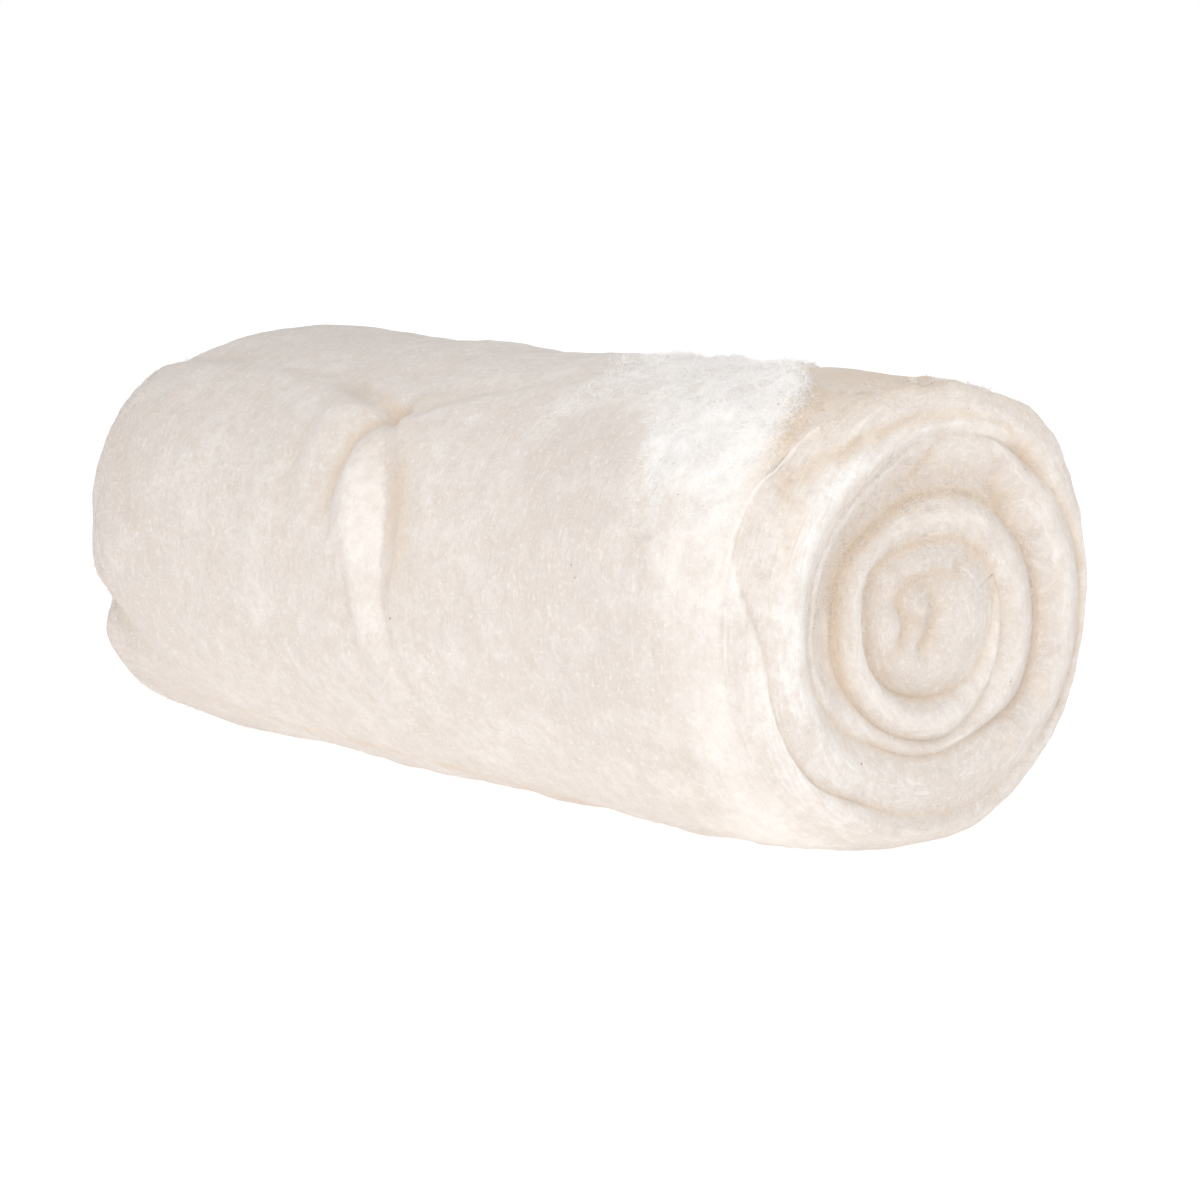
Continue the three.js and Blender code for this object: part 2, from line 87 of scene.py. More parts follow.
# Near end. Recess is how deep the seam lies behind the end of the roll. Crest is how deep the
# top of the turn outside that seam lies, and place is where it is, from 0 at that seam to 1 at
# the next. Line is how sharp the seam is, and how much painted shade lies along it.
# Columns: winding angle, recess, crest, place, line.
NEAR_TURNS = [
    [-1280, 6.9, 7.7, 0.5, 0.5], [-1250, 6.8, 5.6, 0.5, 0.4], [-1206, 7.5, 4.5, 0.55, 0.4],
    [-1172, 8.2, 3.6, 0.6, 0.8], [-1125, 9.5, 4.2, 0.6, 1], [-1080, 9.5, 5, 0.62, 0.9],
    [-1035, 9, 6.4, 0.62, 0.8], [-990, 8, 7.2, 0.6, 0.7], [-945, 7.4, 6, 0.5, 0.8],
    [-900, 6.5, 3.5, 0.4, 0.3], [-855, 6, 3.6, 0.4, 0.2], [-810, 5.6, 4.2, 0.5, 0.4],
    [-765, 7, 5.6, 0.6, 0.6], [-735, 9.6, 5, 0.94, 0.9], [-720, 10, 4.9, 0.97, 1],
    [-675, 9.8, 4.8, 0.97, 1], [-630, 9.4, 4.8, 0.95, 1], [-600, 8.8, 4, 0.88, 0.9],
    [-575, 8.2, 2.6, 0.65, 0.7], [-540, 7.6, 0.8, 0.5, 0.8],
    [-495, 6, 1.6, 0.5, 0.6], [-450, 4.8, 2.6, 0.5, 0.5], [-405, 5.6, 2.4, 0.55, 0.6],
    [-360, 5, 0, 0.5, 0.15], [-315, 4.8, -0.4, 0.48, 0.1], [-270, 5, 0, 0.3, 0.1],
    [-225, 4, 2.6, 0.2, 0.5], [-180, 4, 3.6, 0.2, 0.5], [-135, 4.5, 3.6, 0.2, 0.2],
    [-90, 3, 1.8, 0.35, 0.3], [-60, 3, 1.6, 0.35, 0.7], [-38, 3, 2, 0.35, 0.7],
    [-15, 3.8, 3.6, 0.2, 0.3], [0, 4.5, 4.4, 0.2, 0.1], [57, 9, 8, 0.5, 0],
]

# Far end, mostly hidden: the inner turns stand back and the last turn reaches past them.
# Columns as above.
FAR_TURNS = [
    [-1280, 12.6, 12.5, 0.5, 0.6], [-1200, 12.8, 10.5, 0.5, 0.4], [-900, 12.5, 8.8, 0.5, 0.6],
    [-540, 12, 7, 0.5, 0.6],
    [-180, 10, 5, 0.55, 0.6], [0, 8, 1, 0.6, 0.5], [57, 8, 1, 0.6, 0],
]
MERGE_START = -6  # winding angles between which the outermost seam runs into the rim
MERGE_END = 22
MERGED_GAP = 1.2  # how far inside the rim it then lies
MERGED_RISE = 0.4
HOLLOW_PLACES = [0.6, 0.95]  # between these places of the crest, the turn inside it grows hollow
HOLLOW_SHAPE = 3.4
CREST_HIGHLIGHT_WIDTH = 6  # of the painted highlight along a crest

# Rims where the outside turns into the ends. Setback is how far the rim lies behind the end
# of the roll, and share is its radius as a share of the section.
# Columns: angle, setback, share.
NEAR_RIM = [
    [-135, 8, 0.97], [-90, 10, 0.96], [-45, 16, 0.935], [0, 17, 0.93],
    [42, 13, 0.945], [62, 8, 0.965], [80, 6, 0.97], [105, 4.5, 0.985], [140, 5, 0.985],
    [170, 8, 0.97],
]
FAR_RIM = [
    [-135, 9, 0.94], [-90, 7, 0.955], [-50, 1, 0.99], [-30, 1, 0.99], [-15, 3.5, 0.965],
    [0, 1.5, 0.95], [40, 1.5, 0.955], [65, 4, 0.95], [95, 9, 0.92], [135, 11, 0.93],
    [180, 10, 0.94],
]

# Shoulders next to the rims, from where they start to the rim
NEAR_SHOULDER = 32
FAR_SHOULDER = 24
SHOULDER_CURVE = 0.85  # share of a quarter circle that a shoulder goes through
SHOULDER_DROP = 1 - np.sqrt(1 - SHOULDER_CURVE ** 2)
RIM_STATION = 152  # nominal place of both rims

# Free edge of the last turn. It dips at the pinch, and near the end at +X it runs over the top and
# back down where the batt is torn. Step is how far the last turn stands above the one under it,
# and slope is how wide the way down is.
# Columns: x, angle, step, slope.
TAIL_EDGE = [
    [-156, 57, 3, 8], [-124, 57, 3, 8], [-78, 59, 1.8, 13], [-64, 57.5, 2, 10],
    [-38, 50, 2.5, 6], [-15, 45, 2.2, 5], [-9, 49, 2, 6], [14, 54.5, 1.6, 9], [38, 63, 1.2, 9],
    [44, 78, 1, 8], [50, 92, 0.8, 8], [62, 101, 0.8, 6], [82, 104, 1, 5], [98, 99, 1.2, 4],
    [110, 88, 2.4, 3], [118, 78, 3.4, 2], [130, 72, 4, 1.8], [140, 64, 4, 1.8],
    [146, 50, 3.6, 2], [150, 26, 2.4, 4],
]
TORN_START = 84  # from here on the free edge is ragged, and wholly so where it ends
TORN_END = 104
TORN_RAGS = [[7, 1.6], [2.6, 0.9]]  # columns: length of a tatter, angle it strays
EDGE_LEAN_END = 38  # up to here the columns follow the free edge
EDGE_LEAN_REACH = 45  # degrees over which they do

# The fluffy patch where the last turn is torn: x and distance inside the free edge, each with
# where it starts, where it is full, and where it starts and stops to fade
TORN_ALONG = [42, 74, 136, 150]
TORN_ACROSS = [-2, 2, 28, 76]

# The pinch, where the faces are closest together
PINCH_PLACE = -14
PINCH_REACH = 45
FOLDS_MIDDLE = 60  # angle that every fold lies within half a turn of

# Height of the roll's top above the plain section.
# Columns: x, height.
TOP_LINE = [
    [-160, 0], [-130, 3], [-110, 2.2], [-90, 0.5], [-60, -1], [-30, -0.7], [0, -1.2],
    [50, -2], [80, -2.8], [110, -3], [150, -2.8],
]
TOP_ANGLE = 95
TOP_WIDTH = 50

# Swellings of the outside, broad and soft: the sides bulge where the roll rests.
# Columns: x, angle, length along the roll, width round it, height.
SWELLINGS = [
    [40, -66, 130, 24, 2.6], [108, -64, 28, 22, 1.2], [0, -114, 160, 24, 2],
    [0, -5, 400, 45, -1.2], [0, 180, 120, 45, 1],
]

# Folds of the outside: a soft trough along a route, or a ridge where the depth is below 0. Tint is
# how much painted warm shade lies in the fold.
# Columns: width, tint, route. Columns of a route: x, angle, depth.
FOLDS = {
    "tail groove": (3.6, 0.65, [
        [-120, 57, 0.2], [-64, 58, 0.6], [-44, 52, 2.6], [-37, 50, 2.8], [-28, 47.5, 1.4],
        [-20, 46, 3.2], [-14, 45, 3], [2, 50, 1.8], [16, 55.5, 1], [38, 63, 0.3]]),
    "pinch groove, upper left": (5, 0.8, [
        [-16, 45, 2.5], [-22, 41, 4], [-27, 36, 4], [-29, 27, 3.4], [-28, 18, 2.4],
        [-25, 10, 0.3]]),
    "pinch groove, lower left": (2.6, 0.5, [
        [-18, 12, 0.1], [-16, 3, 0.7], [-14.3, -10, 1.3], [-15.4, -22, 1.2], [-16.4, -35, 0.8],
        [-17, -50, 0.2]]),
    "pinch ridge": (6, 0, [
        [-17, 38, -0.6], [-18, 28, -1.4], [-17.5, 18, -1.6], [-13, 6, -1.4], [-9, -4, -1],
        [-6, -16, -0.6], [-5, -40, -0.3]]),
    "pinch over the back": (12, 0.3, [
        [-20, 62, 0.5], [-14, 110, 1.5], [-10, 150, 1], [-10, 190, 0.5]]),
    "lobe beside the pinch": (7, 0, [
        [-38, 46, -0.5], [-42, 38, -2], [-44, 26, -1.5], [-42, 14, -0.5]]),
    "hollow beside the lobe": (7, 1, [
        [-50, 40, 0.5], [-50, 30, 1.5], [-49, 16, 1], [-48, 6, 0.3]]),
    "crease below the torn edge": (5, 0.5, [
        [94, 44, 0.3], [105, 32, 1.5], [111, 24, 1.5], [118, 15, 0.3]]),
    "lower crease at the near shoulder": (7, 0.5, [
        [123, -18, 0.3], [121, -35, 1.5], [117, -55, 1.5], [110, -70, 0.3]]),
    "crease at the far shoulder": (5, 0.5, [
        [-151, 34, 1], [-142, 20, 2], [-134, 11, 1.5], [-120, 3, 0.3]]),
    "notch at the far shoulder": (6, 0.3, [
        [-160, -15, 6], [-150, -20, 4], [-139, -28, 2], [-126, -34, 0.3]]),

    # Wrinkles too fine for the solid
    "wrinkle on the front, bright side": (3, 0, [[63, 29, -0.2], [63, 18, -0.7], [63.5, 6, -0.2]]),
    "wrinkle on the front, dark side": (2.4, 1, [[70, 21, 0.2], [70, 15, 0.8], [69, 9, 0.3]]),
    "soft ridge on the front": (4, 0, [[92, 11, -0.2], [104, 7, -0.7], [116, 3, -0.2]]),
    "ridge above the free edge": (3.5, 0, [[-2, 60, -0.2], [6, 63, -0.8], [20, 66, -0.2]]),
    "ridge beside the valley": (2.4, 0, [
        [-6, 36, -0.1], [2, 30, -0.6], [4, 20, -0.5], [5, 12, -0.1]]),
    "first crease in the torn patch": (1.7, 1, [[72, 66, 0.3], [80, 74, 1.8], [88, 80, 0.3]]),
    "second crease in the torn patch": (1.7, 1, [[92, 60, 0.3], [102, 68, 2], [110, 73, 0.3]]),
    "third crease in the torn patch": (1.8, 1, [[104, 50, 0.3], [114, 59, 1.8], [121, 64, 0.3]]),
    "edge of the torn patch": (3.5, 0.3, [
        [72, 60, 0.2], [84, 44, 0.6], [90, 28, 0.6], [98, 12, 0.2]]),
}
SHADE_WIDTH = 0.6  # of a fold's painted shade, as a share of the fold's width
FULL_SHADE_DEPTH = 4  # of a fold that has its whole painted shade

# The sharp valley at the pinch: a broad flank runs down to its bottom from the far side, and a
# steeper one rises on the near side.
# Columns: angle, x of the bottom, depth, width of the far flank, width of the near flank.
VALLEY = [
    [-60, -3, 0.2, 8, 5], [-46, 0.5, 0.9, 8, 5], [-30, 5, 1.6, 9, 5], [-16, 3.5, 2, 10, 5],
    [-6, 0, 2.8, 10, 6], [-1, -1, 3.4, 12, 7], [8, -2, 4, 14, 11], [20, -4.5, 4.4, 14, 13],
    [26, -7, 4.2, 13, 13], [34, -11, 3.4, 9, 9], [45, -16, 2, 6, 6], [55, -18, 0, 6, 6],
]

FAR_FLANK_SHAPE = 1.5  # this flank steepens downwards
NEAR_FLANK_SHAPE = 2  # and this one upwards

# Painted shadow low on the front, a tan line along the foot of the roll: its width, and its route
# with the strength in place of a depth
FOOT_SHADOW = (2.4, [
    [-140, -47, 0.3], [-78, -53, 0.8], [-28, -56.5, 1], [18, -59.5, 1.1], [60, -67, 0.9],
    [110, -70, 0.5]])

# Folds of the near end's face, in the form of the folds above; tint is their painted warm shade.
# Columns: width, tint, route. Columns of a route: y, z above the roll's axis, depth.
END_FOLDS = {
    "first fold of the batt": (3.4, 1, [
        [20, 14, 1], [13, 10, 1.8], [4, 11, 2.4], [-6, 8.5, 3], [-11, 4, 3.2], [-6, -2, 3],
        [-8, -7, 2.8], [-12, -12, 1.6]]),
    "hollow in the first fold": (8, 0.6, [[4, 3, 2.2], [1, -5, 2.6], [2, -12, 1.2]]),
    "second fold of the batt": (2.6, 1, [[3, 6, 0.6], [7, 1, 1.4], [5, -5, 1.8], [0, -11, 1.6]]),
    "third fold of the batt": (2.2, 1, [[-20, 12, 0.8], [-24, 2, 1.4], [-21, -10, 1.2]]),
    "lobe of the first fold": (7, 0, [[19, 4, -1.6], [21, -4, -1.6], [17, -12, -1]]),
    "tuft over the first fold": (4, 0, [[-7, 16, -1], [0, 14, -2], [7, 13, -1]]),
    "edge under the last turn": (3, 1, [
        [-64, 10, 0.3], [-62.5, 18, 1], [-61.5, 26, 1.8], [-59.4, 32, 2.4], [-55.5, 40, 3],
        [-49.4, 43.6, 3.4], [-43.3, 47.4, 3.6], [-33, 51.8, 3.8], [-24.5, 54.1, 3.6],
        [-16, 55.9, 3.2], [-2.9, 57.8, 2.8], [10.5, 57.7, 2.6], [24, 55, 1.6], [33.7, 51.5, 1.8],
        [43.4, 43.6, 2.2], [51.3, 35.5, 1]]),
    "notch in the bright turn": (4, 1, [[33, 36, 1.5], [37, 30, 2.2], [40, 24, 1]]),
    "crease in the top turn": (3, 1, [[5, 52, 1], [3, 44, 1.6], [-4, 38, 0.6]]),
}
END_SHADE_DEPTH = 3.4  # of a fold of the face that has its whole painted shade

# Unevenness of the outside and of the ends, as layers of noise.
# Columns: size along the roll, size round it, height.
OUTSIDE_NOISE = [[46, 52, 1.1], [19, 26, 0.7], [8, 9, 0.42], [3.4, 3.8, 0.26]]
TORN_NOISE = [[10, 7, 1.3], [4.5, 3.4, 0.9], [2.4, 2.2, 0.4]]
RIM_NOISE = [[9, 7, 1], [4, 3.2, 0.5]]
END_NOISE = [[24, 24, 0.6], [7, 18, 0.6], [2.6, 12, 0.45], [2.2, 3.4, 0.3]]

# First seeds of the noises
SEEDS = {"outside": 10, "torn": 30, "end": 40, "rim": 50, "edge": 70, "foot": 90, "shoulder": 95}

SEAM_WIDTH = 1.5  # of the painted shade along the seam between two turns
SEAM_DEPTH = 1.6
SOFT_SHAPE = 1.5  # of the turns in section beside a faint seam, which they meet flat
SHARP_SHAPE = 0.9  # beside a sharp one, to which they fall steeply
SHAPE_GAIN = 1.5  # how fast a turn takes the sharp shape as its seam grows sharper
SEAM_CROWDING = 0.55  # how closely the faces crowd together at the seams
WIDE_TURN = 8  # width of a turn from which on it is uneven in full
SWELL_SHAPE = 0.5  # how soon a turn's unevenness sets in beside its seams
CORE_RISE_WIDTH = 4  # over which the core rises from the first seam
CORE_EVEN_REACH = 0.4  # share of the way in over which the core's rings become even
CORE_EVENNESS = 0.95
CORE_NOISE_SHAPE = 4  # how soon the core's unevenness sets in
CORE_LINE = 0.5  # strength of the painted shade along the seam round the core

# Soft windows in which painted shade, painted highlight, paler places and fuzz lie: the strength,
# then for each measure where it starts and where it is full, or "at" with its middle and reach.
WINDOWS = {
    # Painted warm shade: under the free edge, on the turn that the torn one bares, on the valley's
    # near wall, deep inside the outer turn of the near end, and inside its rim at the top
    "under edge": (1.8, ["at", 0, 2.8], ["at", 0, 6]),
    "bared turn": (0.9, [96, 130], [2, 10], ["at", 92, 40]),
    "valley wall": (0.9, [-1, 3], ["at", 8, 10], ["at", 18, 16]),
    "deep in the end": (0.4, [5, 12], [0.78, 0.66]),
    "top of the end": (0.6, ["at", 82, 38], [0.85, 0.95]),
    # Paler and greyer places, mostly painted light: painted shade greys the far shoulder and the
    # top, and painted highlight pales the shoulder, the valley's flank, the outer turns and the
    # crests where they face the front, less at the rim and on low crests; the white patch is partly
    # the torn cotton's own white. Measures are x, the angle or the share of the section's radius
    "far shoulder": (0.9, [-85, -150]),
    "top": (0.5, ["at", 90, 38]),
    "facing front": (1, [85, 50]),
    "valley flank": (1.2, [-16, -3], ["at", 9, 18]),
    "shoulder": (0.55, [-9, 11]),
    "rim": (0.35, [143, 150]),
    "outer turns": (0.5, [0.62, 0.8]),
    "low crests": (0.6, ["at", -90, 60], [0.5, 0.62]),
    "white crests": (0.8, [0.62, 0.7]),
    "white patch": (1, [5, 45]),
    # Unevenness and fuzz
    "uneven rim": (1, [128, 148], ["at", 0, 75]),
    "fuzzy rim": (1, ["at", 152, 5]),
    "fuzzy patch": (1, [0.1, 0.4]),
    "fuzzy fringe": (2, ["at", 0.5, 1.6], [100, 116]),
    "front of the patch": (1, [15, 55]),
}
UNEVEN_ANGLE = 110  # in the middle of the uneven part of the near rim
UNDER_EDGE = 1.2  # how far beyond the step its painted shadow lies
FRONT_ANGLE = -5  # angle that faces the front most
FOOT_SHADOW_PATCHES = [7, 20, 0.45]  # of the painted shadow along the foot. Columns: length, angle, strength
FRONT_PALE = 0.4  # paleness of the front and the ends
# paleness of the painted highlight on the crests of the near end's turns
CREST_HIGHLIGHT = 0.9
SHOULDER_RAGS = [16, 9]  # of the near shoulder's start: length, and how far it strays
# Patches of the outside that are paler or greyer than the rest, in the form of the swellings
PALE_PATCHES = [[25, 80, 55, 25, 0.2], [68, 38, 26, 20, -0.4], [96, 5, 34, 40, -0.25]]

# Where the white shoulder beside the near end starts: partly whiter cotton, partly painted
# highlight where it faces the front.
# Columns: angle, x.
SHOULDER_START = [
    [-90, 112], [-60, 118], [-45, 121], [-19, 126], [0, 131], [20, 122], [35, 108], [47, 93],
    [60, 78], [90, 74],
]

# Specks of leaf and seed caught in the cotton. Columns: x, angle, radius.
SPECKS = [
    [7.4, -6, 0.35], [91.9, 9.9, 0.26], [93.3, 7.3, 0.22], [129.6, 28.8, 0.2],
    [138.2, 57.3, 0.22],
]
# The same on the near end. Columns: y, z above the roll's axis, radius.
END_SPECKS = [
    [13.6, 58.2, 0.26], [43.8, 39.9, 0.3], [-40.9, -0.1, 0.24], [35.3, -23.3, 0.24],
    [-29.7, -39.1, 0.32],
]
SPECK_CORNERS = 6
SPECK_THICKNESS = 0.15
SPECK_RAGS = [0.5, 1.3]  # least and most reach of a corner, as a share of the radius
OFF_AXIS = [0.3, 0.5, 0.8]  # a direction that no speck faces

# Fuzz: flat slivers of fibre, singly or in locks. Columns: name, where, fibres, locks, slivers in
# a lock, length, width, spread of a lock, lift off the surface in radians.
FUZZ = [
    ["fuzz_outside", "outside", "dull_cotton_fibres", 6000, 1, 1.4, 0.06, 0, 0.22],
    ["fuzz_torn_patch", "torn", "white_cotton_fibres", 5200, 6, 2.8, 0.09, 1.6, 0.2],
    ["fuzz_near_end", "near", "cotton_fibres", 8000, 2, 2.4, 0.08, 0.7, 0.18],
    ["fuzz_near_rim", "rim", "cotton_fibres", 900, 6, 3, 0.1, 0.8, 0.6],
    ["fuzz_tuft", "tuft", "white_cotton_fibres", 260, 6, 4, 0.08, 0.9, 0.7],
    ["fuzz_far_end", "far", "cotton_fibres", 5000, 3, 3.4, 0.12, 0.8, 0.3],
]
# Colours of the fibres, from dark to light
FIBRES = {
    "cotton_fibres": [(0.79, 0.73, 0.68, 1), (0.88, 0.84, 0.8, 1)],
    "dull_cotton_fibres": [(0.73, 0.67, 0.62, 1), (0.8, 0.75, 0.7, 1)],
    "white_cotton_fibres": [(0.97, 0.95, 0.93, 1), (0.99, 0.98, 0.97, 1)],
}
# Where the fuzz grows, along the roll and above the floor
NEAR_FUZZ_START = 144
FAR_FUZZ_START = -148
OUTSIDE_FUZZ_END = 146
OUTSIDE_FUZZ_FOOT = 2
PATCH_SPARING = 0.6  # how much less of the outside's fuzz the torn patch has
# Tufts above the edge of the torn patch, in the form of the swellings
TUFTS = [[53, 84, 5, 9, 1], [66, 80, 4, 8, 1]]

FIBRE_PARTS = 3  # straight parts of a sliver
FIBRE_CURL = 0.9  # turn of a sliver from one part to the next, in radians
FIBRE_SPREAD = 1.6  # spread of the slivers' directions from the way round the roll
FIBRE_TILT = 0.35  # spread of how a sliver tilts about its length, in radians
FIBRE_LENGTHS = [0.5, 1.5]  # least and most length, as a share of the table's
FIBRE_TAPER = 0.2  # how much narrower a sliver gets with each part
FIBRE_DROOP = 0.3  # how far a sliver curls back to the surface, as a share of its lift
CURL_STEP = 0.5  # share of the curl in one part
LOCK_SPREAD = 0.3  # of the directions in a lock, in radians

# Noises of the cotton's finish. Columns: scale, detail, roughness, distortion.
MAT_NOISE = [950, 2, 0.65, 0.6]
MAT_STRETCH = 6
MAT_TURNS = [0.15, 1.2, 2.2]  # directions of the matted fibres, in radians
STREAK_NOISE = [480, 3, 0.65, 0.8]
STREAK_STRETCH = 9
COTTON_NOISES = {"pills": [620, 4, 0.75], "lumps": [190, 2, 0.6], "blotch": [55, 2, 0.6]}
COTTON_BUMPS = {"matted": 0.6, "pills": 0.9, "lumps": 1.6, "streaks": 0.7}
BUMP_STRENGTH = 0.7
# Tones from the darkest to the palest cotton, mixed by the paleness, which holds painted highlight
# and shade
COTTON_TONES = [(0.69, 0.62, 0.575, 1), (0.91, 0.86, 0.81, 1)]
# White of the torn patch, partly its own cotton and partly painted highlight, also the painted
# highlight on front-facing crests
TORN_WHITE_AND_HIGHLIGHT = (0.98, 0.965, 0.95, 1)
# Colour of the painted warm shade in creases, seams, recesses and along the foot, and how much of it
# a full crease gets
CREASE_SHADE_COLOUR = (0.72, 0.56, 0.4, 1)
CREASE_SHADE_SHARE = 0.65
CALM_RANGE = [0.35, 1, 1, 0.3]  # paleness from, to, share of the spots left at each
TAN_OUTSIDE = 0.3  # share of the tan streaks that the outside has
PALE_OUTSIDE = 0.1
# Tints laid over one another. Each is strongest where its noise reaches the second value.
# Columns: noise, value where it starts, value where it is full, strength, where, colour.
COTTON_TINTS = [
    ["blotch", 0.45, 0.65, 0.5, "all", (0.75, 0.67, 0.61, 1)],
    ["blotch", 0.5, 0.34, 0.3, "all", (0.93, 0.87, 0.82, 1)],
    ["lumps", 0.44, 0.64, 0.6, "calm", (0.72, 0.63, 0.56, 1)],
    ["streaks", 0.5, 0.68, 0.4, "tan ends", (0.78, 0.67, 0.57, 1)],
    ["streaks", 0.45, 0.3, 0.6, "pale ends", (0.95, 0.9, 0.85, 1)],
    ["matted", 0.6, 0.74, 0.3, "all", (0.96, 0.92, 0.88, 1)],
    ["pills", 0.55, 0.7, 0.6, "all", (0.97, 0.94, 0.91, 1)],
    ["pills", 0.46, 0.3, 0.65, "calm", (0.73, 0.64, 0.56, 1)],
]
COTTON_FINISH = {
    "Roughness": 1, "Specular IOR Level": 0.1, "Sheen Weight": 0.35, "Sheen Roughness": 0.5,
}
FIBRE_NOISE = [90, 2]
FIBRE_FINISH = {"Roughness": 0.9, "Specular IOR Level": 0.2}
SPECK_FINISH = {"Base Color": (0.34, 0.2, 0.1, 1), "Roughness": 0.8}

# The camera: a point on the roll that it looks at, and where it stands
CAMERA_TARGET = [18.4, 0, 59.5]
CAMERA_DISTANCE = 951.9
CAMERA_AZIMUTH = 46.5
CAMERA_ELEVATION = 7.8
CAMERA_LENS = 87.85
SENSOR_WIDTH = 36

# The light
SKY_LIGHT = [1, 0.62]  # at the horizon and overhead
SKY_BEHIND = (0.7, 0.7, 0)  # direction behind the near end, in which the sky is dimmer
SKY_DIM_START = 0.25  # how far towards that direction it starts to dim
SKY_DIM = 0.88  # its light there
SKY_FALL = 0.15  # height above the horizon from which the sky darkens
FLOOR_SIZE = 40
FLOOR_FINISH = {
    "Base Color": (0.7, 0.7, 0.7, 1), "Roughness": 1, "Specular IOR Level": 0,
    "Emission Color": (1, 1, 1, 1), "Emission Strength": 0.6,
}
# Columns: name, place, the place it looks at, size, power.
LIGHTS = [
    ["front_light", [1030, -1220, 180], [0, 0, 70], 1100, 3.1],
    ["near_light", [330, -240, 420], [50, -30, 100], 300, 0.5],
]

random = np.random.default_rng(7)


def smooth_value(rows, column, at):
    """Value in one column of a table, on a smooth curve through its rows."""
    places, values = np.array(rows, float)[:, [0, column]].T
    last = len(places) - 1
    at = np.clip(at, places[0], places[last])
    end = np.clip(np.searchsorted(places, at, side="right"), 1, last)
    start = end - 1
    before, after = np.maximum(start - 1, 0), np.minimum(end + 1, last)
    span = places[end] - places[start]
    t = (at - places[start]) / span
    start_slope = (values[end] - values[before]) / (places[end] - places[before])
    end_slope = (values[after] - values[start]) / (places[after] - places[start])
    return (values[start] + (values[end] - values[start]) * t * t * (3 - 2 * t)
            + span * t * (1 - t) * ((1 - t) * start_slope - t * end_slope))


def round_value(rows, column, angle):
    """The same for a table that goes once round the roll."""
    first, last = rows[0], rows[-1]
    whole = [[last[0] - 360, *last[1:]], *rows, [first[0] + 360, *first[1:]]]
    return smooth_value(whole, column, angle_near(angle, 0))


def angle_near(angle, other):
    """The same angle, within half a turn of another."""
    return np.mod(angle - other + 180, 360) - 180 + other


def smooth_step(value, low, high):
    t = np.clip((value - low) / (high - low), 0, 1)
    return t * t * (3 - 2 * t)


def bell(distance, width):
    """Soft hump across a distance, 1 in its middle."""
    return np.exp(-((distance / width) ** 2))


def plateau(value, limits):
    """Rises from 0 to 1 between the first two limits, and falls back between the last two."""
    return smooth_step(value, *limits[:2]) * (1 - smooth_step(value, *limits[2:]))


def section_point(angle):
    """Point of the plain section at an angle, as y and z from the roll's axis."""
    radians = np.radians(angle)
    squared = [np.sign(v) * np.abs(v) ** (2 / ROUNDNESS) for v in (np.cos(radians), np.sin(radians))]
    return -HALF_WIDTH * squared[0], HALF_HEIGHT * squared[1]


def fold_depth(width, route, place_x, place_y, scale=1):
    """Depth of a fold at places. The scale turns the second coordinate into millimetres."""
    nearest = np.full(np.shape(place_x), np.inf)
    depth = np.zeros(np.shape(place_x))
    for start, end in zip(route[:-1], route[1:]):
        run_x, run_y = end[0] - start[0], (end[1] - start[1]) * scale
        off_x, off_y = place_x - start[0], (place_y - start[1]) * scale
        t = np.clip((off_x * run_x + off_y * run_y) / (run_x ** 2 + run_y ** 2), 0, 1)
        distance = np.hypot(off_x - t * run_x, off_y - t * run_y)
        closer = distance < nearest
        nearest = np.where(closer, distance, nearest)
        depth = np.where(closer, start[2] + t * (end[2] - start[2]), depth)
    return depth * bell(nearest, width)


def lattice_noise(x, y, z, seed):
    """Smooth noise between -1 and 1 in space, with lumps about one unit across."""
    table = np.random.default_rng(seed).permutation(256)
    value = np.random.default_rng(seed + 1).uniform(-1, 1, 256)
    corners = [np.floor(v).astype(int) for v in (x, y, z)]
    parts = [v - c for v, c in zip((x, y, z), corners)]
    parts = [p * p * (3 - 2 * p) for p in parts]
    total = 0
    for steps in np.ndindex(2, 2, 2):
        spot, weight = 0, 1
        for step, corner, part in zip(steps, corners, parts):
            spot = table[(spot + corner + step) % 256]
            weight = weight * (part if step else 1 - part)
        total = total + weight * value[spot]
    return total


def wrap_height(x, angle):
    """Height of the last turn above the one under it: full just inside its free edge, none beyond
    the edge, and worn in gradually on the way back round the roll."""
    inside, distance = inside_edge(x, angle)
    slope = smooth_value(TAIL_EDGE, 3, x)
    step = smooth_step(distance, -slope / 2, slope / 2)
    fade = 1 - smooth_step(inside, 0, WRAP_STEP_REACH)
    return smooth_value(TAIL_EDGE, 2, x) * step * fade


def inside_edge(x, angle):
    """How far inside the free edge of the last turn a place lies: in degrees, and in millimetres."""
    edge = smooth_value(TAIL_EDGE, 1, x)
    for seed, (length, stray) in enumerate(TORN_RAGS):
        across = angle / length * ARC
        edge = edge + stray * smooth_step(x, TORN_START, TORN_END) * lattice_noise(
            x / length, across, across * 0, SEEDS["edge"] + seed)
    slope = smooth_value(TAIL_EDGE, 1, x + 0.5) - smooth_value(TAIL_EDGE, 1, x - 0.5)
    inside = edge - angle_near(angle, edge - WRAP_STEP_REACH)
    return inside, inside * ARC / np.hypot(1, slope * ARC)


